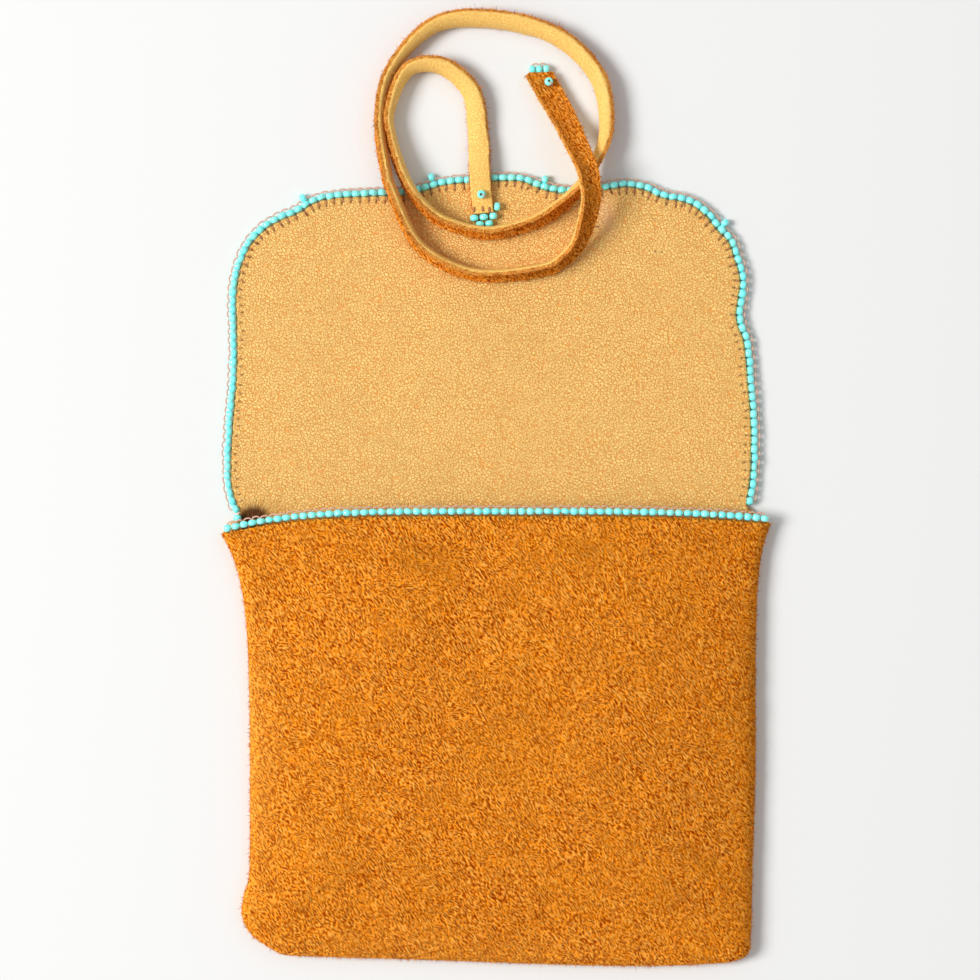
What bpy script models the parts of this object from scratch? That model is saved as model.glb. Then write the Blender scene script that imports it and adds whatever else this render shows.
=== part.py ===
"""Beaded medicine bag: a flat leather pouch with an open flap, seed-bead edgings and a long leather tie.

The bag lies on its back. X runs across the mouth, Y from the pouch towards the flap, Z up. The origin is
on the back's underside, at the middle of the mouth. All sizes are in metres.
"""

import math

import bmesh
import bpy
import numpy as np
from mathutils import Vector

# Leather
LEATHER = 0.0016
SEAM_GAP = 0.0003
CLEARANCE = 0.0003

# Pouch
MOUTH_WIDTH = 0.148
POUCH_WIDTH = 0.136
POUCH_HEIGHT = 0.1215
POUCH_SHIFT = 0.0018  # the pouch hangs this far to the right of the mouth's middle
LEFT_EAR_REACH = 0.012  # how quickly each side draws in below the flared mouth
RIGHT_EAR_REACH = 0.009
LIP_DROP_LEFT = 0.0051  # how far each end of the lip lies below its middle
LIP_DROP_RIGHT = 0.0022

# Fullness of the front
RIM_WALL = 0.0010
ROLL_WIDTH = 0.0025
ROLL_RISE = 0.0015
DOME_RISE = 0.0055
DOME_REACH = 0.040
MOUTH_DOME_SHARE = 0.7
MOUTH_REACH = 0.040

# Flap
FLAP_WIDTH = 0.142
FLAP_LENGTH = 0.090

# Seed beads and thread
BEAD_DIAMETER = 0.0023
BEAD_LENGTH = 0.0016
BEAD_HOLE = 0.0008
BEAD_PITCH = 0.00235
THREAD = 0.0004
SEAM_ALLOWANCE = 0.0012

# Tie
TIE_WIDTH = 0.0056
TIE_THICKNESS = 0.0016
TIE_POINTS = 78
TIE_CUT = 27  # degrees by which the free end's cut leans off square

# Fineness
OUTLINE_STEP = 0.0025
PATH_STEP = 0.0005
PANEL_COLUMNS = 16
PANEL_ROWS = 14
BEAD_FACETS = 10

MM = 0.001

# The bottom corners, as (outwards, upwards) from the square corner of the pouch, in millimetres.
LEFT_CORNER = [
    (0.2, 25.0), (1.6, 18.6), (2.3, 14.0), (1.8, 11.1), (0.7, 8.9), (-1.4, 6.6), (-4.3, 4.5), (-8.1, 2.6),
    (-13.0, 1.8),
]
RIGHT_CORNER = [(-10.7, -0.2), (-5.3, 0.6), (-1.9, 2.5), (-1.2, 7.6), (-0.8, 23.5)]
# The bottom edge, as (share of the width from the left, upwards in millimetres).
BOTTOM_EDGE = [(0.33, 0.8), (0.63, -0.6), (0.80, -0.9)]
# How far below the ears the sides are drawn, in millimetres.
SIDE_DEPTHS = [0.0, 4.0, 9.0, 16.0, 26.0, 42.0, 66.0]

# The flap's beaded edge from its left root round to its right root, as shares of its width and length.
FLAP_EDGE = [
    (-0.490, -0.005), (-0.504, 0.042), (-0.510, 0.110), (-0.507, 0.240), (-0.499, 0.420), (-0.499, 0.560),
    (-0.500, 0.650), (-0.492, 0.726), (-0.476, 0.790), (-0.445, 0.849), (-0.403, 0.886), (-0.375, 0.903),
    (-0.344, 0.934), (-0.305, 0.947), (-0.230, 0.953), (-0.174, 0.957), (-0.139, 0.967), (-0.106, 0.985),
    (-0.050, 0.993), (0.020, 0.999), (0.057, 0.994), (0.086, 0.975), (0.120, 0.962), (0.160, 0.961),
    (0.198, 0.969), (0.248, 0.981), (0.290, 0.967), (0.318, 0.947), (0.351, 0.938), (0.382, 0.919),
    (0.408, 0.883), (0.426, 0.846), (0.448, 0.811), (0.457, 0.767), (0.470, 0.700), (0.468, 0.650),
    (0.462, 0.590), (0.467, 0.553), (0.477, 0.507), (0.484, 0.400), (0.491, 0.243), (0.489, 0.110),
    (0.481, 0.017),
]

# The tie's route: x, y from the flap's tip, height of its lower edge, all in millimetres, and its roll in
# degrees. At 0 its smooth side faces up, at 90 it stands on edge and at 180 the suede faces up.
TIE_ROUTE = [
    (-3.4, -9.8, 1.9, 0), (-3.9, -5.0, 2.2, 0), (-4.3, -1.0, 2.7, 0), (-4.5, 4.0, 2.0, 5),
    (-4.8, 12.0, 0.5, 16), (-6.8, 23.0, 0.3, 36), (-14.9, 29.7, 0.3, 55), (-23.8, 28.3, 0.3, 70),
    (-28.6, 17.7, 0.3, 92), (-28.1, 10.7, 0.5, 96), (-25.9, 3.4, 1.7, 99), (-23.0, -3.1, 2.7, 103),
    (-18.6, -8.5, 2.3, 107), (-13.2, -12.2, 2.0, 110), (-2.0, -14.8, 2.0, 112), (9.7, -12.0, 2.0, 116),
    (16.5, -7.9, 2.4, 117), (22.7, -2.2, 2.7, 108), (27.0, 4.2, 1.6, 86), (29.6, 14.0, 0.3, 64),
    (27.0, 27.2, 0.3, 55), (16.2, 37.7, 0.3, 49), (-0.3, 42.2, 0.3, 50), (-16.2, 40.7, 0.3, 62),
    (-28.1, 28.8, 0.3, 84), (-31.3, 15.6, 0.3, 92), (-29.4, 1.5, 1.7, 98), (-27.5, -4.4, 2.7, 101),
    (-20.2, -18.7, 2.0, 107), (-5.7, -26.0, 2.0, 110), (11.9, -24.8, 2.0, 114), (18.1, -21.7, 2.3, 119),
    (22.1, -16.8, 4.0, 125), (24.7, -8.0, 8.5, 139), (24.6, -2.8, 9.0, 146), (23.8, 1.5, 8.8, 151),
    (20.2, 10.7, 4.0, 158), (18.0, 16.0, 1.2, 162), (14.5, 22.6, 0.3, 167), (11.7, 27.6, 0.3, 170),
]

# Places of the single beads: picots as shares of the flap's beaded edge, the others in millimetres.
PICOT_SHARES = [0.325, 0.447, 0.551, 0.730]
RING_BEAD_ALONG = 6.3
FACE_BEAD_FROM_END = 3.1
FACE_BEAD_ASIDE = 0.8


def clear_scene():
    """Remove whatever the scene holds."""
    for obj in list(bpy.data.objects):
        bpy.data.objects.remove(obj, do_unlink=True)


def collection_of(name):
    """A collection of that name in the scene."""
    made = bpy.data.collections.new(name)
    bpy.context.scene.collection.children.link(made)
    return made


def finish_of(name, colour, roughness):
    """A plain Principled material, shared by the pieces made of it."""
    found = bpy.data.materials.get(name)
    if found:
        return found
    made = bpy.data.materials.new(name)
    made.use_nodes = True
    shader = made.node_tree.nodes["Principled BSDF"]
    shader.inputs["Base Color"].default_value = (*colour, 1.0)
    shader.inputs["Roughness"].default_value = roughness
    shader.inputs["Metallic"].default_value = 0.0
    return made


def suede():
    return finish_of("tan_suede", (0.74, 0.21, 0.009), 0.95)


def grain_leather():
    return finish_of("tan_grain_leather", (0.82, 0.43, 0.13), 0.55)


def tie_leather():
    return finish_of("tie_leather", (0.58, 0.12, 0.01), 0.9)


def turquoise_glass():
    return finish_of("turquoise_glass", (0.061, 0.68, 0.68), 0.12)


def sewing_thread():
    return finish_of("copper_thread", (0.62, 0.22, 0.12), 0.6)


def place(name, data, finish, collection):
    """An object of that name, with its finish, in the collection."""
    data.materials.clear()
    data.materials.append(finish)
    obj = bpy.data.objects.new(name, data)
    collection.objects.link(obj)
    return obj


def lengths_along(points):
    """The distance along a path to each of its points."""
    steps = np.linalg.norm(np.diff(points, axis=0), axis=1)
    return np.concatenate([[0.0], np.cumsum(steps)])


def evenly_spaced(points, count):
    """The path again, as count points at equal steps."""
    along = lengths_along(points)
    wanted = np.linspace(0.0, along[-1], count)
    return np.stack([np.interp(wanted, along, column) for column in points.T], axis=1)


def smooth_path(controls, per_span=24):
    """A smooth curve through the control points, as a fine path."""
    controls = np.array(controls, float)
    padded = np.vstack([2 * controls[0] - controls[1], controls, 2 * controls[-1] - controls[-2]])
    share = np.linspace(0.0, 1.0, per_span, endpoint=False)[:, None]
    spans = []
    for before, start, end, after in zip(padded, padded[1:], padded[2:], padded[3:]):
        lead = (end - before) / 2
        trail = (after - start) / 2
        cubic = 2 * start - 2 * end + lead + trail
        square = -3 * start + 3 * end - 2 * lead - trail
        spans.append(((cubic * share + square) * share + lead) * share + start)
    return np.vstack([*spans, controls[-1:]])


def left_normals(points):
    """The unit directions to the left of a flat path's travel."""
    ahead = np.gradient(points[:, :2], axis=0)
    ahead /= np.linalg.norm(ahead, axis=1)[:, None]
    return np.stack([-ahead[:, 1], ahead[:, 0]], axis=1)


def offset_path(points, distance):
    """A flat path moved to its left by a distance."""
    return points[:, :2] + left_normals(points) * distance


def edging_reach():
    """How far the middle of a bead row stands off the leather's edge."""
    return CLEARANCE + BEAD_LENGTH / 2


def lip_height(x):
    """The y of the lip's bead row at each x: level in the middle, dropping towards the ears."""
    share = x / (MOUTH_WIDTH / 2)
    drop = np.where(share < 0, LIP_DROP_LEFT, LIP_DROP_RIGHT)
    return -drop * share**4


def side_points(side):
    """Points down one side of the pouch, from its ear: side is -1 for the left and 1 for the right."""
    reach = LEFT_EAR_REACH if side < 0 else RIGHT_EAR_REACH
    ear = side * MOUTH_WIDTH / 2
    body = POUCH_SHIFT + side * POUCH_WIDTH / 2
    top = float(lip_height(np.array(ear))) - edging_reach()
    points = []
    for depth_mm in SIDE_DEPTHS:
        depth = depth_mm * MM
        points.append((body + (ear - body) * math.exp(-depth / reach), top - depth))
    return points


def corner_points(side, corner):
    """A bottom corner's points, measured outwards and upwards from the pouch's square corner."""
    body = POUCH_SHIFT + side * POUCH_WIDTH / 2
    return [(body + side * out * MM, up * MM - POUCH_HEIGHT) for out, up in corner]


def pouch_edge():
    """The pouch's seamed edge, from the left ear down, along the bottom and up to the right ear."""
    start = POUCH_SHIFT - POUCH_WIDTH / 2
    bottom = [(start + share * POUCH_WIDTH, up * MM - POUCH_HEIGHT) for share, up in BOTTOM_EDGE]
    controls = side_points(-1)
    controls += corner_points(-1, LEFT_CORNER)
    controls += bottom
    controls += corner_points(1, RIGHT_CORNER)
    controls += side_points(1)[::-1]
    path = smooth_path(controls)
    return evenly_spaced(path, round(lengths_along(path)[-1] / PATH_STEP) + 1)


def flap_bead_line():
    """The line of the flap's beads, from its left root over the top to its right root."""
    path = smooth_path([(x * FLAP_WIDTH, y * FLAP_LENGTH) for x, y in FLAP_EDGE])
    return evenly_spaced(path, round(lengths_along(path)[-1] / PATH_STEP) + 1)


def flap_leather_edge():
    """The edge of the flap's leather, inside its line of beads."""
    return offset_path(flap_bead_line(), -edging_reach())


def fullness(distance, mouth_depth):
    """How far the front's leather rises above its rim, by distance from the seam and depth below the mouth."""
    roll = np.clip(distance / ROLL_WIDTH, 0.0, 1.0)
    dome = np.clip(distance / DOME_REACH, 0.0, 1.0)
    depth = np.clip(mouth_depth / MOUTH_REACH, 0.0, 1.0)
    depth = depth * depth * (3 - 2 * depth)
    share = MOUTH_DOME_SHARE + (1 - MOUTH_DOME_SHARE) * depth
    return ROLL_RISE * np.sqrt(1 - (1 - roll) ** 2) + DOME_RISE * np.sin(dome * math.pi / 2) * share


def distance_to(points, edge):
    """The distance of each flat point from the nearest point of an edge."""
    gaps = points[:, None, :2] - edge[None, :, :2]
    return np.sqrt((gaps**2).sum(axis=2)).min(axis=1)


def add_back_and_flap(collection):
    """The back and the flap: one flat sheet of leather."""
    seam = pouch_edge()
    flap = flap_leather_edge()
    seam = evenly_spaced(seam, round(lengths_along(seam)[-1] / OUTLINE_STEP) + 1)
    flap = evenly_spaced(flap, round(lengths_along(flap)[-1] / OUTLINE_STEP) + 1)
    outline = np.vstack([seam, flap[::-1]])
    curve = bpy.data.curves.new("back_and_flap", "CURVE")
    curve.dimensions = "2D"
    curve.fill_mode = "BOTH"
    curve.extrude = LEATHER / 2
    spline = curve.splines.new("POLY")
    spline.points.add(len(outline) - 1)
    for point, (x, y) in zip(spline.points, outline):
        point.co = (x, y, 0.0, 1.0)
    spline.use_cyclic_u = True
    sheet = place("back_and_flap", curve, grain_leather(), collection)
    sheet.location.z = LEATHER / 2
    return sheet


def shares_across(span, count, open_start):
    """Grid shares from edge to edge: close together at a seamed edge, whose first step is the rim's wall."""
    steps = np.array([0.0, 0.0008, 0.0025, 0.006, 0.012]) / span
    start = [0.0] if open_start else [0.0, *steps]
    middle = np.linspace(start[-1], 1 - steps[-1], count + 1)[1:-1]
    return np.array([*start, *middle, *(1 - steps[::-1]), 1.0])


def add_front_panel(collection):
    """The front: a full, soft panel with a low wall at its seam and a free edge at the mouth."""
    edge = pouch_edge()
    seam = offset_path(edge, LEATHER / 2)
    left_end = int(np.argmin(seam[:, 0] + seam[:, 1]))
    right_start = int(np.argmax(seam[:, 0] - seam[:, 1]))
    left, bottom, right = seam[: left_end + 1], seam[left_end : right_start + 1], seam[right_start:][::-1]
    mouth_x = np.linspace(seam[0, 0], seam[-1, 0], 200)
    mouth = np.stack([mouth_x, lip_height(mouth_x) - edging_reach()], axis=1)

    columns = shares_across(POUCH_WIDTH, PANEL_COLUMNS, False)
    rows = shares_across(POUCH_HEIGHT, PANEL_ROWS, True)
    mesh = bmesh.new()
    bmesh.ops.create_grid(mesh, x_segments=len(columns) - 1, y_segments=len(rows) - 1, size=0.5)
    flat = np.array([vertex.co[:2] for vertex in mesh.verts])
    column = np.round((flat[:, 0] + 0.5) * (len(columns) - 1)).astype(int)
    row = np.round((0.5 - flat[:, 1]) * (len(rows) - 1)).astype(int)
    across, down = columns[column][:, None], rows[row][:, None]

    def at(path, share):
        along = lengths_along(path)
        wanted = share[:, 0] * along[-1]
        return np.stack([np.interp(wanted, along, path[:, axis]) for axis in (0, 1)], axis=1)

    sides = (1 - across) * at(left, down) + across * at(right, down)
    ends = (1 - down) * at(mouth, across) + down * at(bottom, across)
    corners = (1 - down) * ((1 - across) * left[0] + across * right[0])
    corners += down * ((1 - across) * bottom[0] + across * bottom[-1])
    spot = sides + ends - corners

    rise = RIM_WALL + fullness(distance_to(spot, seam), -spot[:, 1])
    on_rim = (column == 0) | (column == len(columns) - 1) | (row == len(rows) - 1)
    height = LEATHER + SEAM_GAP + np.where(on_rim, 0.0, rise)
    for vertex, (x, y), z in zip(mesh.verts, spot, height):
        vertex.co = (x, y, z)
    bmesh.ops.remove_doubles(mesh, verts=mesh.verts, dist=0.00001)
    data = bpy.data.meshes.new("front_panel")
    mesh.to_mesh(data)
    mesh.free()
    data.shade_smooth()
    panel = place("front_panel", data, suede(), collection)
    solid = panel.modifiers.new("Leather", "SOLIDIFY")
    solid.thickness = LEATHER
    solid.offset = 0.0
    return panel


def section_curve(name, corners, guides):
    """A closed section in the XY plane, to sweep along a path, its corners listed clockwise."""
    curve = bpy.data.curves.new(name, "CURVE")
    curve.dimensions = "2D"
    curve.fill_mode = "NONE"
    spline = curve.splines.new("POLY")
    spline.points.add(len(corners) - 1)
    for point, (x, y) in zip(spline.points, corners):
        point.co = (x, y, 0.0, 1.0)
    spline.use_cyclic_u = True
    guide = bpy.data.objects.new(name, curve)
    guide.hide_render = True
    guide.display_type = "WIRE"
    guides.objects.link(guide)
    return guide


def swept(name, points, radii, tilts, section, finish, collection):
    """A section swept along points, swelling by radii and rolling by tilts, with closed ends."""
    curve = bpy.data.curves.new(name, "CURVE")
    curve.dimensions = "3D"
    curve.twist_mode = "Z_UP"
    curve.bevel_mode = "OBJECT"
    curve.bevel_object = section
    curve.use_fill_caps = True
    spline = curve.splines.new("POLY")
    spline.points.add(len(points) - 1)
    for point, spot, radius, tilt in zip(spline.points, points, radii, tilts):
        point.co = (*spot, 1.0)
        point.radius = radius
        point.tilt = tilt
    return place(name, curve, finish, collection)


def bead_section():
    """The outline of a bead seen along its row: its hole points sideways, so it is longer in height."""
    out, up = BEAD_LENGTH / 2, BEAD_DIAMETER / 2
    return [(out, -up / 2), (0.0, -up), (-out, -up / 2), (-out, up / 2), (0.0, up), (out, up / 2)]


def add_bead_row(name, line, section, collection):
    """A row of beads side by side, joined by the thread that runs between them."""
    count = max(2, round(lengths_along(line)[-1] / BEAD_PITCH))
    swell = [(-0.30, 0.96), (0.30, 0.96), (0.50, 0.30)]
    rings = [(bead + 0.5 + step, radius) for bead in range(count) for step, radius in swell][:-1]
    along = lengths_along(line)
    wanted = np.array([pitches for pitches, _ in rings]) / count * along[-1]
    points = np.stack([np.interp(wanted, along, column) for column in line.T], axis=1)
    radii = [radius for _, radius in rings]
    return swept(name, points, radii, [0.0] * len(points), section, turquoise_glass(), collection)


def lip_bead_line():
    """The line of the lip's beads, from ear to ear over the front's free edge."""
    half = MOUTH_WIDTH / 2 - BEAD_LENGTH / 2
    x = np.linspace(-half, half, 400)
    y = lip_height(x)
    depth = np.full(len(x), edging_reach())
    rise = fullness(distance_to(np.stack([x, y], axis=1), pouch_edge()), depth)
    z = LEATHER + SEAM_GAP + BEAD_DIAMETER / 2 + rise
    return np.stack([x, y, z], axis=1)


def bead_mesh():
    """One seed bead: a closed ring section, turned about its hole."""
    outer, inner, half = BEAD_DIAMETER / 2, BEAD_HOLE / 2, BEAD_LENGTH / 2
    middle = (outer + inner) / 2
    section = [
        (outer, half / 2), (outer, -half / 2), (middle, -half),
        (inner, -half / 2), (inner, half / 2), (middle, half),
    ]
    edges = [(index, (index + 1) % len(section)) for index in range(len(section))]
    data = bpy.data.meshes.new("seed_bead")
    data.from_pydata([(x, 0.0, z) for x, z in section], edges, [])
    return data


def add_bead(name, data, spot, axis, collection):
    """A single bead at a spot, its hole along an axis."""
    bead = place(name, data, turquoise_glass(), collection)
    turned = bead.modifiers.new("Turned", "SCREW")
    turned.axis = "Z"
    turned.steps = BEAD_FACETS
    turned.render_steps = BEAD_FACETS
    turned.use_merge_vertices = True
    turned.merge_threshold = 0.00001
    bead.location = spot
    bead.rotation_mode = "QUATERNION"
    bead.rotation_quaternion = Vector(axis).to_track_quat("Z", "Y")
    return bead


def add_edge_beads(collection):
    """The picots that stand one bead outside the flap's edging, and the extra bead between its rows."""
    line = flap_bead_line()
    outward = left_normals(line)
    reach = BEAD_LENGTH + CLEARANCE
    for number, share in enumerate(PICOT_SHARES, 1):
        index = round(share * (len(line) - 1))
        spot = line[index] + outward[index] * reach
        axis = (*outward[index], 0.0)
        add_bead(f"picot_bead_{number}", bead_mesh(), (*spot, BEAD_DIAMETER / 2), axis, collection)
    x, y = line[0]
    spot = (x, y - edging_reach() - CLEARANCE, LEATHER + CLEARANCE + BEAD_DIAMETER / 2)
    add_bead("corner_bead", bead_mesh(), spot, (0.0, 1.0, 0.0), collection)


def tie_line():
    """The tie's centreline and roll, evenly spaced: x, y, z and the roll in radians."""
    rows = []
    for x, y, under, roll in TIE_ROUTE:
        turn = math.radians(roll)
        half = (TIE_WIDTH * abs(math.sin(turn)) + TIE_THICKNESS * abs(math.cos(turn))) / 2
        rows.append((x * MM, y * MM + FLAP_LENGTH, under * MM + half, turn))
    path = smooth_path(rows, 12)
    along = lengths_along(path[:, :3])
    wanted = np.linspace(0.0, along[-1], TIE_POINTS)
    return np.stack([np.interp(wanted, along, column) for column in path.T], axis=1)


def tie_frame(line, index):
    """At one point of the tie: its place, its direction, its width's direction and its upper face's."""
    before, after = max(index - 1, 0), min(index + 1, len(line) - 1)
    ahead = Vector(line[after, :3] - line[before, :3]).normalized()
    left = Vector((0.0, 0.0, 1.0)).cross(ahead).normalized()
    up = ahead.cross(left)
    turn = line[index, 3]
    wide = left * math.cos(turn) - up * math.sin(turn)
    face = up * math.cos(turn) + left * math.sin(turn)
    if face.z < 0:
        face = -face
    return Vector(line[index, :3]), ahead, wide, face


def plain_mesh(obj):
    """The same object as a welded mesh, in place of its curve."""
    evaluated = obj.evaluated_get(bpy.context.evaluated_depsgraph_get())
    data = bpy.data.meshes.new_from_object(evaluated)
    mesh = bmesh.new()
    mesh.from_mesh(data)
    bmesh.ops.remove_doubles(mesh, verts=mesh.verts, dist=0.00001)
    mesh.to_mesh(data)
    mesh.free()
    made = bpy.data.objects.new(obj.name, data)
    made.matrix_world = obj.matrix_world.copy()
    obj.users_collection[0].objects.link(made)
    name = obj.name
    bpy.data.objects.remove(obj, do_unlink=True)
    made.name = name
    return made


def add_tie(collection, guides):
    """The tie: a flat strap, sewn down at its root, loose from there and snipped off on the slant."""
    line = tie_line()
    wide, thick = TIE_WIDTH / 2, TIE_THICKNESS / 2
    worn = thick / 2
    corners = [
        (wide, worn - thick), (wide - worn, -thick), (worn - wide, -thick), (-wide, worn - thick),
        (-wide, thick - worn), (worn - wide, thick), (wide - worn, thick), (wide, thick - worn),
    ]
    section = section_curve("tie_section", corners, guides)
    square = swept("tie_strap", line[:, :3], [1.0] * len(line), -line[:, 3], section, tie_leather(), collection)
    strap = plain_mesh(square)
    tip, ahead, across, _ = tie_frame(line, len(line) - 1)
    for vertex in strap.data.vertices:
        from_tip = vertex.co - tip
        if from_tip.length < TIE_WIDTH and abs(from_tip.dot(ahead)) < LEATHER / 2:
            vertex.co -= ahead * from_tip.dot(across) * math.tan(math.radians(TIE_CUT))


def add_tie_beads(collection):
    """The beads on the tie: a cluster at its root, one where it leaves the flap, and four at its tip."""
    line = tie_line()
    step = BEAD_DIAMETER + CLEARANCE
    stand = TIE_THICKNESS / 2 + CLEARANCE + BEAD_LENGTH / 2
    on_flap = LEATHER + CLEARANCE + BEAD_DIAMETER / 2
    root, ahead, wide, _ = tie_frame(line, 0)
    back = -ahead.to_2d().normalized()
    aside = wide.to_2d().normalized()

    near = root.to_2d() + back * edging_reach()
    far = near + back * (BEAD_LENGTH + CLEARANCE)
    right = root.to_2d() - back * step / 2 - aside * (TIE_WIDTH / 2 + edging_reach())
    spots = [(near + aside * step * count, back) for count in (-1, 0, 1)]
    spots += [(far + aside * step * count, back) for count in (-0.5, 0.5)]
    spots.append((right, -aside))
    for number, (spot, axis) in enumerate(spots, 1):
        add_bead(f"tie_root_bead_{number}", bead_mesh(), (*spot, on_flap), (*axis, 0.0), collection)

    spacing = float(lengths_along(line[:, :3])[-1]) / (len(line) - 1)
    index = round(RING_BEAD_ALONG * MM / spacing)
    spot, ahead, wide, face = tie_frame(line, index)
    add_bead("tie_ring_bead", bead_mesh(), spot + face * stand, face, collection)

    tip, ahead, wide, face = tie_frame(line, len(line) - 1)
    along_cut = (wide - ahead * math.tan(math.radians(TIE_CUT))).to_2d().normalized()
    onward = Vector((-along_cut.y, along_cut.x))
    for number, count in enumerate((-1, 0, 1), 1):
        spot = tip.to_2d() + onward * (CLEARANCE + BEAD_DIAMETER / 2)
        spot += along_cut * (BEAD_LENGTH + CLEARANCE) * count
        spot = (*spot, CLEARANCE + BEAD_DIAMETER / 2)
        add_bead(f"tie_tip_bead_{number}", bead_mesh(), spot, (*along_cut, 0.0), collection)
    spot = tip - ahead * FACE_BEAD_FROM_END * MM + wide * FACE_BEAD_ASIDE * MM + face * stand
    add_bead("tie_face_bead", bead_mesh(), spot, face, collection)


def add_seam_thread(collection):
    """The hidden thread of the turned seam, inside the pouch."""
    inset = LEATHER + SEAM_ALLOWANCE + THREAD / 2
    line = offset_path(pouch_edge(), inset)
    line = evenly_spaced(line, round(lengths_along(line)[-1] / (2 * OUTLINE_STEP)) + 1)[1:-1]
    curve = bpy.data.curves.new("seam_thread", "CURVE")
    curve.dimensions = "3D"
    curve.bevel_depth = THREAD / 2
    curve.bevel_resolution = 1
    curve.use_fill_caps = True
    spline = curve.splines.new("POLY")
    spline.points.add(len(line) - 1)
    for point, (x, y) in zip(spline.points, line):
        point.co = (x, y, LEATHER + CLEARANCE + THREAD / 2, 1.0)
    return place("seam_thread", curve, sewing_thread(), collection)


def main():
    clear_scene()
    bag = collection_of("beaded_medicine_bag")
    guides = collection_of("guides")
    add_back_and_flap(bag)
    add_front_panel(bag)
    add_seam_thread(bag)
    section = section_curve("bead_section", bead_section(), guides)
    flap = flap_bead_line()
    flap = np.column_stack([flap, np.full(len(flap), BEAD_DIAMETER / 2)])
    add_bead_row("flap_bead_edging", flap, section, bag)
    add_bead_row("lip_bead_edging", lip_bead_line(), section, bag)
    add_edge_beads(bag)
    add_tie(bag, guides)
    add_tie_beads(bag)


main()
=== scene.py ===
"""Looks of the beaded medicine bag: leather, seed beads, thread and tie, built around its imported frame."""

import math

import bpy
import numpy as np
from bpy.props import FloatProperty, FloatVectorProperty, IntProperty, PointerProperty
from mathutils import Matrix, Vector
from mathutils.geometry import delaunay_2d_cdt
from mathutils.kdtree import KDTree


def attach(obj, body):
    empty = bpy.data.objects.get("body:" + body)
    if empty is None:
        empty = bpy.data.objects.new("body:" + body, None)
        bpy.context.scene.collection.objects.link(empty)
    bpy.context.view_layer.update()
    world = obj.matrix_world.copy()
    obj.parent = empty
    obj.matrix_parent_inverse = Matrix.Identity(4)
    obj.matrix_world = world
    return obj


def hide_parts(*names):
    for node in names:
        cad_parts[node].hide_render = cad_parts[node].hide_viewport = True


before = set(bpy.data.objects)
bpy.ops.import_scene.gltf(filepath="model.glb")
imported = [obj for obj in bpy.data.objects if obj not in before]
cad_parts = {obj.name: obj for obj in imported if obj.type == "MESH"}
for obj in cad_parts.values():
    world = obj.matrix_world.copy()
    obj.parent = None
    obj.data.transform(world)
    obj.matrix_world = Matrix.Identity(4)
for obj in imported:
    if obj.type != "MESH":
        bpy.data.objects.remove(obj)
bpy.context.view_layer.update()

bl_info = {
    "name": "Beaded Medicine Bag",
    "version": (1, 0, 0),
    "blender": (4, 5, 0),
    "location": "3D View > Sidebar > Bag",
    "description": "Dresses a leather pouch with suede, smooth leather, seed beads, thread and a long tie",
    "category": "Object",
}

MM = 0.001

# Leather
LEATHER = 0.0016
SEAM_GAP = 0.0003
CLEARANCE = 0.0003

# Pouch and lip
MOUTH_WIDTH = 0.148
LIP_DROP_LEFT = 0.0051
LIP_DROP_RIGHT = 0.0022
RIM_WALL = 0.0010
FOOT = 0.0006
ROLL_WIDTH = 0.0025
ROLL_RISE = 0.0015
DOME_RISE = 0.0055
DOME_REACH = 0.040
MOUTH_DOME_SHARE = 0.7
MOUTH_REACH = 0.040

# Flap
FLAP_LENGTH = 0.090

# Beads and thread
BEAD_HOLE = 0.0008
BEAD_PITCH = 0.00235
THREAD = 0.0004

# Tie
TIE_WIDTH = 0.0056
TIE_THICKNESS = 0.0016
TIE_SETTLE = 0.12  # radians by which the strap stands up straighter where it crosses the flap
TIE_SETTLED = (1.66, 1.80, 2.10, 2.27)  # rolls where it starts to, does, still does and stops doing so
TIE_CUT = 27  # degrees by which the free end's cut leans off square
FACE_ROUGH = 0.00002
CUT_ROUGH = 0.00008

# The tie's route: x, y from the flap's tip, height of its lower edge, all in millimetres, and its roll in
# degrees. At 0 its smooth side faces up, at 90 it stands on edge and at 180 the suede faces up.
TIE_ROUTE = [
    (-3.4, -9.8, 1.9, 0), (-3.9, -5.0, 2.2, 0), (-4.3, -1.0, 2.7, 0), (-4.5, 4.0, 2.0, 5),
    (-4.8, 12.0, 0.5, 16), (-6.8, 23.0, 0.3, 36), (-14.9, 29.7, 0.3, 55), (-23.8, 28.3, 0.3, 70),
    (-28.6, 17.7, 0.3, 92), (-28.1, 10.7, 0.5, 96), (-25.9, 3.4, 1.7, 99), (-23.0, -3.1, 2.7, 103),
    (-18.6, -8.5, 2.3, 107), (-13.2, -12.2, 2.0, 110), (-2.0, -14.8, 2.0, 112), (9.7, -12.0, 2.0, 116),
    (16.5, -7.9, 2.4, 117), (22.7, -2.2, 2.7, 108), (27.0, 4.2, 1.6, 86), (29.6, 14.0, 0.3, 64),
    (27.0, 27.2, 0.3, 55), (16.2, 37.7, 0.3, 49), (-0.3, 42.2, 0.3, 50), (-16.2, 40.7, 0.3, 62),
    (-28.1, 28.8, 0.3, 84), (-31.3, 15.6, 0.3, 92), (-29.4, 1.5, 1.7, 98), (-27.5, -4.4, 2.7, 101),
    (-20.2, -18.7, 2.0, 107), (-5.7, -26.0, 2.0, 110), (11.9, -24.8, 2.0, 114), (18.1, -21.7, 2.3, 119),
    (22.1, -16.8, 4.0, 125), (24.7, -8.0, 8.5, 139), (24.6, -2.8, 9.0, 146), (23.8, 1.5, 8.8, 151),
    (20.2, 10.7, 4.0, 158), (18.0, 16.0, 1.2, 162), (14.5, 22.6, 0.3, 167), (11.7, 27.6, 0.3, 170),
]

# Stitches of the tie's root: x and y in millimetres, and lean
ROOT_STITCHES = [(-5.9, 81.0, 0.2), (-3.6, 81.2, -0.3), (-1.8, 81.0, 0.1)]

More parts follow.
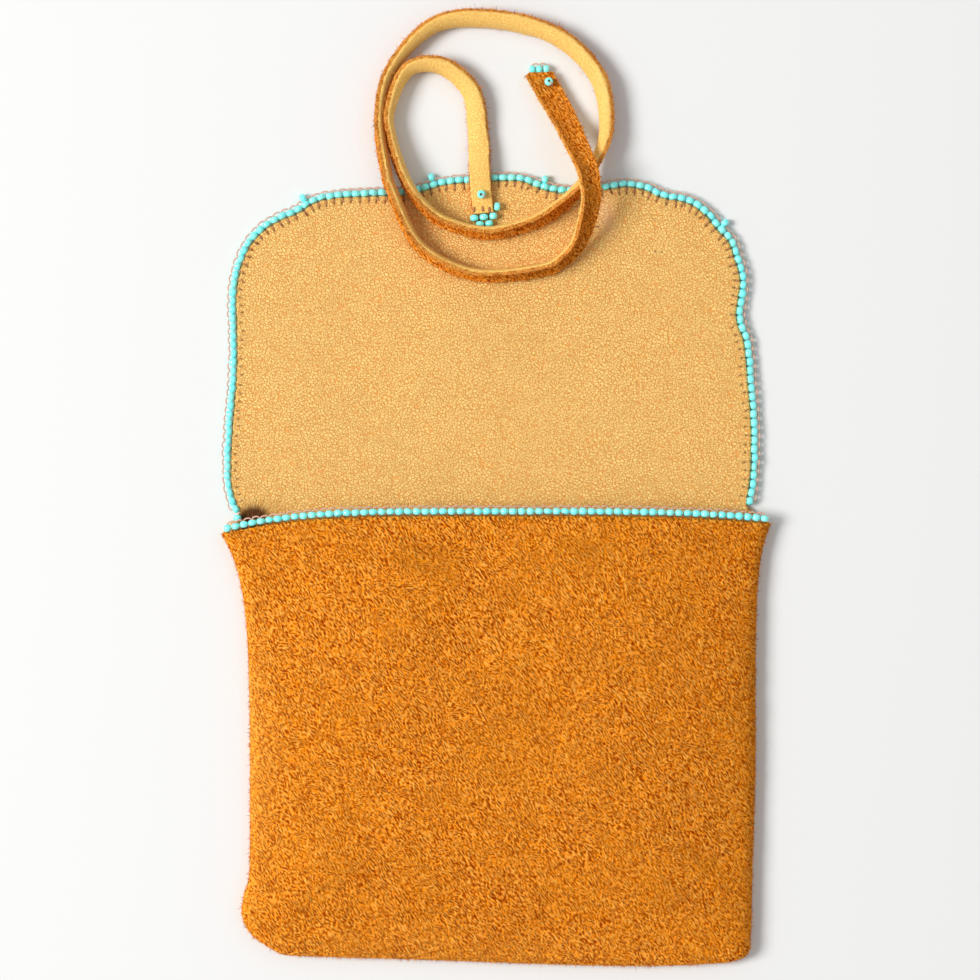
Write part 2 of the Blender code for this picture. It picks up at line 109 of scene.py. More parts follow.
# Rings of points behind a sewn edge, by their distance from it, in millimetres
EDGE_INSETS = [0.1, 0.25, 0.4, 0.6, 0.8, 1.0, 1.2, 1.35, 1.5, 1.7, 2.0, 2.4, 3.0, 3.8]

# Creases of the smooth leather above the lip: x, y, heading in degrees, length and depth, in millimetres
CREASES = [
    (-70.2, 2.4, 128, 2.5, 0.16), (-68.4, 1.8, 112, 4.5, 0.22), (-66.6, 1.2, 98, 5.5, 0.24),
    (-64.6, 0.8, 84, 5.5, 0.24), (-62.4, 0.6, 70, 6.0, 0.22), (-59.6, 0.6, 55, 6.0, 0.18),
    (-53.5, 0.4, 100, 5.0, 0.18), (-46.0, 0.4, 80, 4.0, 0.14), (-36.0, 0.4, 102, 4.5, 0.14),
    (-24.0, 0.6, 76, 4.0, 0.12), (-9.0, 0.6, 95, 4.5, 0.14), (8.0, 0.6, 84, 4.0, 0.12),
    (22.0, 0.6, 100, 5.0, 0.14), (37.0, 0.4, 80, 4.0, 0.14), (50.0, 0.2, 96, 5.0, 0.16),
    (61.0, 0.0, 78, 6.0, 0.22), (66.5, 0.0, 100, 6.5, 0.26),
]

# Texture of the leather: the nap's strokes by length, width and turn in degrees, and the grain's features
NAP_STROKES = [(0.00096, 0.00029, 50.0), (0.00074, 0.00028, 15.0), (0.00070, 0.00028, 100.0)]
NAP_GRIT = 0.00031
NAP_DEPTH = 0.0010
PEBBLE = 0.00068
PORE = 0.00046
GRAIN_DEPTH = 0.00036
GATHERS = (-65.6, -4.4, 0.0105)  # where the wrinkles at the tucked ear start, and how far they reach

# Distances over which the leather rounds at a cut edge, starts to wave and draws up to its seam
EDGE_ROUND = 0.0007
EDGE_CALM = 0.012
SEAM_CALM = 0.002

# Spacing of the meshes' points
FLAP_SPACING = 0.0021
FRONT_SPACING = 0.0013
POUCH_STEP = 0.0009
BEAD_STEPS = 12  # points of a sewn edge for each bead

# Sewing: how wide the marks of a stitch are, and the stretch of the flap where its threads come into view
GROOVE_WIDTH = 0.00034
HOLE_WIDTH = 0.00026
HOLE_LENGTH = 0.00045
LOBE_WIDTH = 0.00045
LOBE_RISE = 0.00013
STITCHES_SHOWN = (0.052, 0.070)
THREAD_SUNK = 0.0003
THREAD_LIFT = 0.00012

# Loose fibres
OFF_FLOOR = 0.00002
FIBRE_RADIUS = 0.00007
SUEDE_SHADES = [(0.36, 0.050, 0.0012), (0.76, 0.18, 0.006), (1.0, 0.34, 0.014), (1.0, 0.52, 0.10)]
TIE_SHADES = [(0.46, 0.090, 0.003), (0.80, 0.23, 0.010), (0.97, 0.34, 0.022), (1.0, 0.50, 0.09)]

# Patches of colour: x, y, width and height in millimetres, turn in degrees, and strength
DARKER_PATCHES = [
    (-19.0, -13.0, 16.0, 9.0, 10.0, 1.0), (24.0, -10.0, 12.0, 6.0, 0.0, 1.0),
    (58.0, -96.0, 14.0, 5.0, 40.0, 0.8), (46.0, -104.0, 12.0, 4.0, 40.0, 0.6),
    (-42.0, -88.0, 26.0, 20.0, 30.0, 0.4),
]
# Painted light on the suede's lit left and lower side, and painted shade on its far right side.
SUNLIT = [(-70.0, -65.0, 16.0, 60.0, 0.0, 1.0), (-20.0, -124.0, 90.0, 16.0, 0.0, 0.6)]
FAR_SIDE_SHADE = [(76.0, -60.0, 22.0, 90.0, 0.0, 1.0)]
RUBBED = [(29.5, 80.0, 4.5, 9.0, -8.0, 1.0)]
FLECKS = [
    (27.3, 76.6, 0.75, 0.35, 5.0, 1.0), (26.2, 76.7, 0.4, 0.3, 0.0, 1.0),
    (43.0, 70.0, 0.5, 0.3, 20.0, 1.0), (44.6, 69.8, 0.4, 0.3, 0.0, 1.0),
]
# Painted shade round the flap's ear by the lip, and a painted shadow where the ear tucks under the lip.
SHADE_AT_EAR = [(-63.5, -1.0, 15.0, 8.0, 8.0, 1.0)]
SHADE_IN_TUCK = [(-65.6, -1.4, 7.2, 4.6, -6.0, 1.0)]

# Lamps: name, place, size across and power in watts
LAMPS = [("key", (-1.7, 0.09, 1.7), 1.07, 59.0), ("fill", (0.7, 0.6, 1.2), 0.9, 1.2)]

# View: the photograph's middle and its scale on the floor
FRAME_PIXELS = 980
PIXEL = 0.27 * MM
ORIGIN_PIXEL = (496, 511)
CAMERA_HEIGHT = 0.80
SENSOR = 36.0


class BagSizes(bpy.types.PropertyGroup):
    """Sizes of the bag's fine detail."""

    bead_diameter: FloatProperty(
        name="Bead diameter", description="Across a seed bead", default=0.0023, unit="LENGTH"
    )
    bead_length: FloatProperty(
        name="Bead length", description="Along a seed bead's hole", default=0.0016, unit="LENGTH"
    )
    groove: FloatProperty(
        name="Groove", description="How far a stitch draws the leather down", default=0.00017, unit="LENGTH"
    )
    stitch: FloatProperty(
        name="Stitch", description="How far a stitch reaches in from the edge", default=0.00130, unit="LENGTH"
    )
    cupping: FloatProperty(
        name="Cupping", description="How far the tie curls across its width", default=0.0013, unit="LENGTH"
    )
    fibre: FloatProperty(
        name="Fibre", description="Length of a stray suede fibre", default=0.00062, unit="LENGTH"
    )
    fibres_per_cm: IntProperty(
        name="Fibres per cm", description="Stray fibres on each centimetre of cut edge", default=280
    )
    nap_fibres: IntProperty(
        name="Nap", description="Fibres of the brushed nap on the front", default=45000
    )


class BagColours(bpy.types.PropertyGroup):
    """Colours of the bag's materials."""

    suede: FloatVectorProperty(
        name="Suede", description="Nap that faces the light", default=(1.0, 0.315, 0.009), subtype="COLOR"
    )
    # Painted shade in the nap's gaps.
    suede_gap_shade: FloatVectorProperty(
        name="Deep suede", description="Gaps in the nap", default=(0.36, 0.038, 0.0008), subtype="COLOR"
    )
    grain: FloatVectorProperty(
        name="Grain", description="Smooth side of the leather", default=(1.0, 0.64, 0.205), subtype="COLOR"
    )
    # Painted shade in the grain's creases.
    grain_crease_shade: FloatVectorProperty(
        name="Grain crease", description="Creases between the pebbles", default=(0.90, 0.375, 0.080),
        subtype="COLOR",
    )
    bead: FloatVectorProperty(
        name="Bead", description="Turquoise glass", default=(0.21, 1.0, 1.0), subtype="COLOR"
    )
    thread: FloatVectorProperty(
        name="Thread", description="Copper thread", default=(0.88, 0.50, 0.37), subtype="COLOR"
    )


def sizes():
    return bpy.context.scene.bag_sizes


def colours():
    return bpy.context.scene.bag_colours


class Value:
    """A shader output that takes part in Python arithmetic."""

    def __init__(self, paint, socket):
        self.paint = paint
        self.socket = socket

    def joined(self, operation, first, second):
        return self.paint.node("ShaderNodeMath", {"operation": operation}, {0: first, 1: second})

    def __add__(self, other):
        return self.joined("ADD", self, other)

    __radd__ = __add__

    def __sub__(self, other):
        return self.joined("SUBTRACT", self, other)

    def __rsub__(self, other):
        return self.joined("SUBTRACT", other, self)

    def __mul__(self, other):
        return self.joined("MULTIPLY", self, other)

    __rmul__ = __mul__


class Paint:
    """A Principled material under construction."""

    def __init__(self, name, roughness, **constants):
        self.material = bpy.data.materials.new(name)
        self.material.use_nodes = True
        self.tree = self.material.node_tree
        self.shader = self.tree.nodes["Principled BSDF"]
        self.shader.inputs["Roughness"].default_value = roughness
        for socket, value in constants.items():
            self.shader.inputs[socket.replace("_", " ").title().replace("Ior", "IOR")].default_value = value
        self.body = None

    def node(self, kind, settings=None, inputs=None, output=0):
        """Add a node: its settings first, then the values or links of its sockets."""
        made = self.tree.nodes.new(kind)
        for name, value in (settings or {}).items():
            setattr(made, name, value)
        for name, value in (inputs or {}).items():
            self.set(made.inputs[name], value)
        return Value(self, made.outputs[output])

    def set(self, socket, value):
        """Link a socket to a value of the tree, or give it a number or colour."""
        if isinstance(value, Value):
            self.tree.links.new(value.socket, socket)
        elif socket.type == "RGBA":
            socket.default_value = (*value[:3], 1.0)
        else:
            socket.default_value = value

    def drive(self, name, value):
        """Feed one of the shader's own sockets."""
        self.set(self.shader.inputs[name], value)

    def over(self, factor, colour):
        """Lay one more colour over the body's colour."""
        self.body = self.mix(factor, self.body, colour)

    def done(self):
        """Feed the body's colour to the shader and hand over the material."""
        self.drive("Base Color", self.body)
        return self.material

    def place(self):
        """The point on the piece, in metres."""
        return self.node("ShaderNodeTexCoord", output=3)

    def vector(self, operation, first, second, output=0):
        return self.node("ShaderNodeVectorMath", {"operation": operation}, {0: first, 1: second}, output)

    def length(self, vector):
        return self.vector("LENGTH", vector, (0.0, 0.0, 0.0), 1)

    def turned(self, vector, degrees):
        """The point turned about the vertical."""
        inputs = {"Vector": vector, "Angle": math.radians(degrees)}
        return self.node("ShaderNodeVectorRotate", {"rotation_type": "Z_AXIS"}, inputs)

    def noise(self, vector, size, detail=2.0, rough=0.5):
        """Noise whose features are about one size across, from 0 to 1."""
        inputs = {"Vector": vector, "Scale": 1 / size, "Detail": detail, "Roughness": rough}
        return self.node("ShaderNodeTexNoise", {}, inputs)

    def wobbled(self, moved, place, scale, detail, amount):
        """A vector pushed about by the noise at a place."""
        push = self.node("ShaderNodeTexNoise", {}, {"Vector": place, "Scale": scale, "Detail": detail}, 1)
        return self.vector("ADD", moved, self.vector("MULTIPLY", push, (amount, amount, amount)))

    def streaks(self, vector, length, width, degrees):
        """Noise drawn out along one direction."""
        drawn = self.vector("MULTIPLY", self.turned(vector, degrees), (width / length, 1.0, width / length))
        return self.noise(drawn, width, 0.0)

    def pebbles(self, vector, size):
        inputs = {"Vector": vector, "Scale": 1 / size}
        return self.node("ShaderNodeTexVoronoi", {"feature": "DISTANCE_TO_EDGE"}, inputs)

    def step(self, value, low, high):
        """0 below low and 1 above high, with a soft change between."""
        settings = {"interpolation_type": "SMOOTHSTEP"}
        inputs = {"Value": value, "From Min": low, "From Max": high}
        return self.node("ShaderNodeMapRange", settings, inputs)

    def mix(self, factor, first, second):
        """A colour between two colours."""
        inputs = {0: factor, 6: first, 7: second}
        return self.node("ShaderNodeMix", {"data_type": "RGBA"}, inputs, output=2)

    def spots(self, place, patches):
        """Oval patches, each 1 times its strength in the middle and 0 at its rim."""
        total = 0.0
        for x, y, wide, tall, degrees, strength in patches:
            centred = self.vector("SUBTRACT", place, (x * MM, y * MM, 0.0))
            turned = self.turned(centred, degrees)
            scaled = self.vector("MULTIPLY", turned, (1 / (wide * MM), 1 / (tall * MM), 0.0))
            total = total + (1.0 - self.step(self.length(scaled), 0.0, 1.0)) * strength
        return total

    def mesh_value(self, name):
        """A value kept on the mesh's own points."""
        return self.node("ShaderNodeAttribute", {"attribute_name": name}, output=2)

    def bump(self, height, depth, strength=1.0):
        inputs = {"Strength": strength, "Distance": depth, "Height": height}
        self.drive("Normal", self.node("ShaderNodeBump", {}, inputs))


def shaded(colour, by, plus=0.0):
    """A colour made darker or lighter."""
    return tuple(min(1.0, channel * by + plus) for channel in colour)


def suede_finish(name="tan_suede", light=None, deep=None, on_front=True):
    """Brushed suede: short fibres lying in soft swirls, darker in some patches, with painted highlights,
    painted light on its lit side and painted shade in its gaps, at its stitches and on its far side.
    """
    light = light or tuple(colours().suede)
    deep = deep or tuple(colours().suede_gap_shade)
    painted_highlight = shaded(light, 1.25, 0.07)
    paint = Paint(name, 0.95, sheen_weight=0.05, sheen_roughness=0.5, specular_ior_level=0.03)
    paint.drive("Sheen Tint", (1.0, 0.45, 0.10))
    place = paint.place()
    nap = suede_nap(paint, place)
    # The nap's strokes, with painted shade in the gaps between them.
    paint.body = paint.mix(paint.step(nap, 0.395, 0.49), deep, light)
    # Painted highlights on the nap's raised strokes.
    paint.over(paint.step(nap, 0.53, 0.61) * 0.9, painted_highlight)
    cloud = paint.step(paint.noise(place, 0.018, 3.0, 0.6), 0.40, 0.68)
    paint.over(cloud * 0.25, shaded(light, 0.82))
    if on_front:
        paint.over(paint.spots(place, DARKER_PATCHES) * 0.40, shaded(light, 0.60))
        # Painted light on the suede's lit left and lower side.
        paint.over(paint.spots(place, SUNLIT) * 0.30, painted_highlight)
        # Painted shade on the suede's far right side.
        paint.over(paint.spots(place, FAR_SIDE_SHADE) * 0.55, shaded(light, 0.55))
        # Painted shade in the stitches' grooves and holes.
        paint.over(paint.mesh_value("stitch_shade") * 0.7, (0.13, 0.022, 0.002))
    paint.bump(nap, NAP_DEPTH)
    return paint.done()


def suede_nap(paint, place):
    """The height of the nap, from 0 to 1: strokes about 1 mm long that mostly run down to the right."""
    bent = paint.wobbled(place, place, 150.0, 1.0, 0.0014)
    down, flat, upright = (paint.streaks(bent, *stroke) for stroke in NAP_STROKES)
    across = paint.step(paint.noise(place, 0.0065), 0.56, 0.66)
    steep = paint.step(paint.noise(place, 0.0048), 0.62, 0.72)
    fibres = down * (1.0 - across) + flat * across
    fibres = fibres * (1.0 - 0.7 * steep) + upright * (0.7 * steep)
    grit = paint.noise(place, NAP_GRIT, 1.0, 0.6)
    return fibres * 0.76 + grit * 0.24


def grain_finish(name="tan_grain_leather", light=None, crease=None, sewn=True):
    """The smooth side: fine pebble grain with painted shade in its creases, and on the pebbles a soft shine
    with painted highlights.
    """
    light = light or tuple(colours().grain)
    crease = crease or tuple(colours().grain_crease_shade)
    paint = Paint(name, 0.5, specular_ior_level=0.25)
    place = paint.place()
    bent = paint.wobbled(place, place, 260.0, 2.0, 0.0008)
    drawn = paint.vector("MULTIPLY", paint.turned(bent, 35.0), (0.78, 1.15, 1.0))
    pebble = paint.step(paint.pebbles(drawn, PEBBLE), 0.0, 0.15)
    relief = pebble * 0.50 + paint.noise(bent, PORE, 2.0, 0.6) * 0.50
    if sewn:
        wrinkles, drawn_in = gathers(paint, place, *GATHERS)
        relief = relief * (1.0 - 0.5 * drawn_in) + wrinkles * drawn_in * 0.9
    # The pebbles' tone, with painted shade in the creases between them.
    tone = paint.step(relief, 0.32, 0.76)
    paint.body = paint.mix(tone, crease, light)
    # Painted highlights on the pebbles' tops.
    paint.over(paint.step(relief, 0.74, 0.90) * 0.7, shaded(light, 1.08, 0.05))
    cloud = paint.step(paint.noise(place, 0.03, 3.0, 0.55), 0.38, 0.72)
    paint.over(cloud * 0.16, shaded(light, 0.82))
    smudge = paint.step(paint.noise(place, 0.007, 4.0, 0.6), 0.58, 0.75)
    paint.over(smudge * 0.12, crease)
    if sewn:
        paint.over(paint.spots(place, RUBBED) * 0.35, (0.85, 0.50, 0.33))
        paint.over(paint.step(paint.spots(place, FLECKS), 0.15, 0.5) * 0.85, (0.06, 0.03, 0.02))
        # Painted shade in the furrows between the wrinkles.
        paint.over((1.0 - wrinkles) * drawn_in * 0.45, (0.40, 0.14, 0.02))
        # Painted shade round the ear by the lip.
        paint.over(paint.spots(place, SHADE_AT_EAR) * 0.45, (0.62, 0.25, 0.045))
        # A painted shadow where the ear tucks under the lip.
        paint.over(paint.step(paint.spots(place, SHADE_IN_TUCK), 0.05, 0.75) * 0.98, (0.115, 0.032, 0.003))
        # Painted shade in the stitches' grooves and holes.
        paint.over(paint.mesh_value("stitch_shade") * 0.9, (0.24, 0.075, 0.02))
    else:
        # Painted shade in the holes of the root's stitches.
        for x, y, _ in ROOT_STITCHES:
            hole = paint.spots(place, [(x, y, 0.55, 1.3, 0.0, 1.0)])
            paint.over(paint.step(hole, 0.05, 0.6) * 0.8, (0.26, 0.08, 0.02))
    paint.drive("Roughness", 0.64 - 0.16 * tone)
    paint.bump(relief, GRAIN_DEPTH if sewn else GRAIN_DEPTH / 2)
    return paint.done()


def gathers(paint, place, x, y, reach):
    """Fine wrinkles that run out from a point, and how strongly they show there."""
    from_point = paint.vector("SUBTRACT", place, (x * MM, y * MM, 0.0))
    flat = paint.vector("MULTIPLY", from_point, (1.0, 1.0, 0.0))
    ahead = paint.vector("NORMALIZE", flat, (0.0, 0.0, 0.0))
    bent = paint.wobbled(ahead, place, 500.0, 1.0, 0.20)
    wrinkles = paint.step(paint.noise(bent, 0.060, 1.0), 0.36, 0.60)
    return wrinkles, 1.0 - paint.step(paint.length(flat), reach * 0.25, reach)


def cut_edge_finish():
    """The leather's cut edge: matted brown fibres."""
    paint = Paint("cut_edge", 0.95, specular_ior_level=0.1)
    fleck = paint.noise(paint.place(), 0.00030, 3.0, 0.7)
    paint.body = paint.mix(paint.step(fleck, 0.34, 0.54), (0.28, 0.066, 0.007), (1.0, 0.46, 0.09))
    paint.bump(fleck, 0.0004)
    return paint.done()


def bead_finish():
    """Opaque turquoise glass, a little uneven from bead to bead."""
    red, green, blue = colours().bead
    paint = Paint("bead_glass", 0.2, coat_weight=0.8, coat_roughness=0.10, specular_ior_level=0.6)
    place = paint.place()
    batch = paint.step(paint.noise(place, 0.0034, 0.0), 0.3, 0.7)
    paint.body = paint.mix(batch, (red, green, blue), (red * 1.3, green, blue * 0.93))
    clouds = paint.step(paint.noise(place, 0.0007), 0.58, 0.80)
    paint.over(clouds * 0.12, (red * 0.5, green * 0.72, blue * 0.76))
    paint.drive("Roughness", 0.16 + 0.12 * paint.noise(place, 0.0005))
    return paint.done()


def thread_finish(name, colour):
    """Waxed sewing thread: two plies seen as fine slanted bands."""
    paint = Paint(name, 0.6, specular_ior_level=0.25)
    inputs = {"Vector": paint.place(), "Scale": 900.0}
    ply = paint.node("ShaderNodeTexWave", {"bands_direction": "DIAGONAL"}, inputs, 1)
    paint.body = paint.mix(paint.step(ply, 0.25, 0.75), shaded(colour, 0.68), colour)
    paint.bump(ply, 0.0001, 0.6)
    return paint.done()


def fibre_finishes(kind, shades):
    """Materials of the loose fibres, one for each shade."""
    made = []
    for number, shade in enumerate(shades, 1):
        paint = Paint(f"{kind}_{number}", 0.9, specular_ior_level=0.05)
        paint.body = shade
        made.append(paint.done())
    return made


def lengths_along(points):
    steps = np.linalg.norm(np.diff(points, axis=0), axis=1)
    return np.concatenate([[0.0], np.cumsum(steps)])


def unit(vectors):
    """The vectors brought to a length of one."""
    return vectors / np.linalg.norm(vectors, axis=-1, keepdims=True)


def ramp(value, reach):
    """0 at nothing and 1 from the reach on, in a straight line."""
    return np.clip(value / reach, 0.0, 1.0)


def bell(value, width):
    """1 at nothing, falling softly to 0 over about twice the width."""
    return np.exp(-((value / width) ** 2))


def read_along(points, wanted, values=None):
    """A path's points, or values kept at them, at the wanted distances along it."""
    along = lengths_along(points)
    values = points if values is None else values
    return np.stack([np.interp(wanted, along, column) for column in values.T], axis=1)


def evenly_spaced(points, step):
    """The path again, with points about one step apart."""
    total = lengths_along(points)[-1]
    return read_along(points, np.linspace(0.0, total, max(2, round(total / step) + 1)))


def smooth_path(controls, per_span=12):
    """A smooth curve through the control points, as a fine path."""
    controls = np.array(controls, float)
    padded = np.vstack([2 * controls[0] - controls[1], controls, 2 * controls[-1] - controls[-2]])
    share = np.linspace(0.0, 1.0, per_span, endpoint=False)[:, None]
    spans = []
    for before, start, end, after in zip(padded, padded[1:], padded[2:], padded[3:]):
        lead = (end - before) / 2
        trail = (after - start) / 2
        cubic = 2 * start - 2 * end + lead + trail
        square = -3 * start + 3 * end - 2 * lead - trail
        spans.append(((cubic * share + square) * share + lead) * share + start)
    return np.vstack([*spans, controls[-1:]])


def left_normals(points):
    """The unit directions to the left of a flat path's travel."""
    ahead = unit(np.gradient(points[:, :2], axis=0))
    return np.stack([-ahead[:, 1], ahead[:, 0]], axis=1)


def leather_outline():
    """The leather sheet's outline in the frame: the pouch's edge from ear to ear, then the flap's."""
    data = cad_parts["back_and_flap"].data
    links = {}
    for face in data.polygons:
        if abs(face.normal.z) > 0.5:
            continue
        corners = [data.vertices[index].co for index in face.vertices]
        top = [(round(c.x, 6), round(c.y, 6)) for c in corners if c.z > LEATHER / 2]
        if len(top) == 2:
            links.setdefault(top[0], []).append(top[1])
            links.setdefault(top[1], []).append(top[0])
    start = min(links)
    loop = [start, min(links[start], key=lambda spot: spot[1])]
    while loop[-1] != start:
        onward = [spot for spot in links[loop[-1]] if spot != loop[-2]]
        loop.append(onward[0])
    loop = np.array(loop[:-1])
    right_ear = int(np.argmax(loop[:, 0]))
    return smooth_path(loop[: right_ear + 1], 6), smooth_path(loop[right_ear + 1 :], 6)


def edging_reach():
    return CLEARANCE + sizes().bead_length / 2


def lip_height(x):
    """The y of the lip's bead row at each x."""
    share = x / (MOUTH_WIDTH / 2)
    drop = np.where(share < 0, LIP_DROP_LEFT, LIP_DROP_RIGHT)
    return -drop * share**4


def closed(outline):
    """An outline with its first point again at its end."""
    return np.vstack([outline, outline[:1]])


def rolled(distance, width):
    """The quarter round of a rolled edge, from 0 at the seam to 1."""
    return np.sqrt(1 - (1 - ramp(distance, width)) ** 2)


def dome(distance, mouth_depth):
    """The soft swelling of the front, by distance from the seam and depth below the mouth."""
    share = MOUTH_DOME_SHARE + (1 - MOUTH_DOME_SHARE) * soft_step(mouth_depth, 0.0, MOUTH_REACH)
    return DOME_RISE * np.sin(ramp(distance, DOME_REACH) * math.pi / 2) * share


def soft_step(value, low, high):
    """0 below low and 1 above high, with a smooth rise between."""
    share = np.clip((value - low) / (high - low), 0.0, 1.0)
    return share * share * (3 - 2 * share)


class Edge:
    """A flat path that tells how far a point lies from it, and how far along."""

    def __init__(self, path):
        self.path = evenly_spaced(path, 0.0002)
        self.along = lengths_along(self.path)
        self.tree = KDTree(len(self.path))
        for index, (x, y) in enumerate(self.path):
            self.tree.insert((x, y, 0.0), index)
        self.tree.balance()

    def measure(self, points):
        """The distance of each point from the path, and its place along it."""
        flat = points[:, :2]
        near = np.array([self.tree.find((x, y, 0.0))[1] for x, y in flat])
        away = np.full(len(flat), np.inf)
        along = np.zeros(len(flat))
        for first in (np.maximum(near - 1, 0), np.minimum(near, len(self.path) - 2)):
            start = self.path[first]
            step = self.path[first + 1] - start
            share = np.clip(((flat - start) * step).sum(axis=1) / (step**2).sum(axis=1), 0.0, 1.0)
            gap = np.linalg.norm(start + step * share[:, None] - flat, axis=1)
            reached = self.along[first] + share * (self.along[first + 1] - self.along[first])
            along = np.where(gap < away, reached, along)
            away = np.minimum(gap, away)
        return away, along


def waves(points, size, seed):
    """Smooth hills from -1 to 1, about one size across, the same each time."""
    rng = np.random.default_rng(seed)
    total = np.zeros(len(points))
    for _ in range(7):
        turn = rng.uniform(0, 2 * math.pi)
        pitch = 2 * math.pi / (size * rng.uniform(0.7, 1.6))
        lean = points[:, 0] * math.cos(turn) + points[:, 1] * math.sin(turn)
        total += np.sin(lean * pitch + rng.uniform(0, 2 * math.pi))
    return total / 4


def inside(points, outline):
    """Which points lie inside a closed outline."""
    x, y = points[:, 0], points[:, 1]
    hits = np.zeros(len(points), bool)
    for (ax, ay), (bx, by) in zip(outline, np.roll(outline, -1, axis=0)):
        if ay == by:
            continue
        crosses = ((ay > y) != (by > y)) & (x < (bx - ax) * (y - ay) / (by - ay) + ax)
        hits ^= crosses
    return hits


def grid_points(low, high, spacing):
    """A triangular grid of points over a box."""
    rows = []
    for number, y in enumerate(np.arange(low[1], high[1], spacing * 0.866)):
        x = np.arange(low[0] + (number % 2) * spacing / 2, high[0], spacing)
        rows.append(np.stack([x, np.full(len(x), y)], axis=1))
    return np.vstack(rows)


def triangulated(outline, spacing, patches=()):
    """Points and triangles of a flat region: fine along its outline and in its patches, coarser elsewhere."""
    edge = Edge(closed(outline))
    normals = left_normals(np.vstack([outline[-1:], outline, outline[:1]]))[1:-1]
    points = [outline]
    for inset in np.array(EDGE_INSETS) * MM:
        every = 1 if inset < 0.0021 else 2
        moved = (outline + normals * inset)[::every]
        away, _ = edge.measure(moved)
        points.append(moved[(away > inset * 0.93) & inside(moved, outline)])
    grid = grid_points(outline.min(axis=0), outline.max(axis=0), spacing)
    for low, high, fine in patches:
        within = ((grid > low) & (grid < high)).all(axis=1)
        grid = np.vstack([grid[~within], grid_points(low, high, fine)])
    grid = grid[inside(grid, outline)]
    away, _ = edge.measure(grid)
    points.append(grid[away > EDGE_INSETS[-1] * MM + 0.0004])
    every = [Vector(point) for point in np.vstack(points)]
    ring = [(index, (index + 1) % len(outline)) for index in range(len(outline))]
    spots, _, faces, *_ = delaunay_2d_cdt(every, ring, [], 1, 1e-8)
    return np.array([spot[:] for spot in spots]), faces


def boundary_of(faces):
    """The boundary of a sheet of triangles, as directed edges."""
    sides = {}
    for face in faces:
        for start, end in zip(face, (*face[1:], face[0])):
            sides[(start, end)] = True
    return [side for side in sides if (side[1], side[0]) not in sides]


def mesh_piece(name, points, faces, materials, slots=None, smooth_angle=None):
    """A mesh object from points and faces, with its materials."""
    data = bpy.data.meshes.new(name)
    data.from_pydata([tuple(point) for point in points], [], [tuple(face) for face in faces])
    for material in materials:
        data.materials.append(material)
    if slots is not None:
        data.polygons.foreach_set("material_index", np.array(slots, np.int32))
    data.shade_smooth()
    if smooth_angle:
        data.set_sharp_from_angle(angle=math.radians(smooth_angle))
    piece = bpy.data.objects.new(name, data)
    bpy.context.scene.collection.objects.link(piece)
    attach(piece, "root")
    return piece


def closed_sheet(points, top, bottom, faces):
    """Points and faces of a sheet with the given heights above and below, closed round its boundary."""
    count = len(points)
    upper = np.column_stack([points, top])
    lower = np.column_stack([points, bottom])
    walls = [(start, start + count, end + count, end) for start, end in boundary_of(faces)]
    under = [tuple(index + count for index in reversed(face)) for face in faces]
    return np.vstack([upper, lower]), [*faces, *under, *walls]


def keep_values(piece, name, values):
    """Keep a value at each point of a piece for its material to read."""
    layer = piece.data.attributes.new(name, "FLOAT", "POINT")
    full = np.zeros(len(piece.data.vertices))
    full[: len(values)] = values
    layer.data.foreach_set("value", full)


def distance_from(path, points):
    return Edge(path).measure(points)[0]


class Sewing:
    """A leather edge with a stitch between each two beads: where the stitches are and what they do to it."""

    def __init__(self, path, beads, reach, depth, seed):
        self.edge = Edge(path)
        self.outward = -left_normals(self.edge.path)
        middles = (beads[1:, :2] + beads[:-1, :2]) / 2
        close = np.linalg.norm(np.diff(beads[:, :2], axis=0), axis=1) < 2 * BEAD_PITCH
        self.places = np.sort(self.edge.measure(middles[close])[1])
        rng = np.random.default_rng(seed)
        self.reaches = reach * rng.uniform(0.75, 1.25, len(self.places))
        self.leans = rng.normal(0, 0.14, len(self.places))
        self.depth = depth
        self.shown = soft_step(read_along(self.edge.path, self.places)[:, 1], *STITCHES_SHOWN)

    def facing(self, along):
        """The unit directions out of the leather at distances along its edge."""
        return unit(read_along(self.edge.path, along, self.outward))

    def relief(self, points):
        """The edge's change of height, its movement in the plane and its shade, from 0 to 1."""
        away, along = self.edge.measure(points)
        after = np.clip(np.searchsorted(self.places, along), 1, len(self.places) - 1)
        nearer = along - self.places[after - 1] < self.places[after] - along
        number = np.where(nearer, after - 1, after)
        gap = along - self.places[number] - self.leans[number] * away
        reach = self.reaches[number]
        groove = bell(gap, GROOVE_WIDTH) * (1 - soft_step(away, reach * 0.7, reach * 1.15))
        hole = bell(gap, HOLE_WIDTH) * bell(away - reach, HOLE_LENGTH)
        between = 1 - bell(gap, LOBE_WIDTH)
        shown = self.shown[number]
        height = LOBE_RISE * between * bell(away, 0.0012)
        height = height - self.depth * (groove * (0.4 + 0.6 * shown) + 1.6 * hole)
        push = (0.00026 * between + 0.00006 * (1 - between)) * bell(away, 0.0007)
        shade = np.clip((0.05 + 0.50 * shown) * groove + hole, 0, 1)
        return height, self.facing(along) * push[:, None], shade

    def threads(self, surface, lift):
        """Short thread paths from the edge along each groove, ending in its hole."""
        spots = read_along(self.edge.path, self.places)
        into = -self.facing(self.places)
        beside = np.stack([into[:, 1], -into[:, 0]], axis=1) * -self.leans[:, None]
        shares = np.array([-0.05, 0.12, 0.32, 0.55, 0.78, 0.92])
        lifts = np.array([-0.0006, -0.0001, lift, lift, lift * 0.4, -0.0003])
        sunk = THREAD_SUNK * (1 - self.shown)
        paths = []
        for share, raised in zip(shares, lifts):
            flat = spots + (into + beside) * (self.reaches * share)[:, None]
            paths.append(np.column_stack([flat, surface(flat) + raised - sunk]))
        return np.stack(paths, axis=1)


def flap_sewing():
    _, flap = leather_outline()
    return Sewing(flap, flap_row()[0], sizes().stitch, sizes().groove, 6)


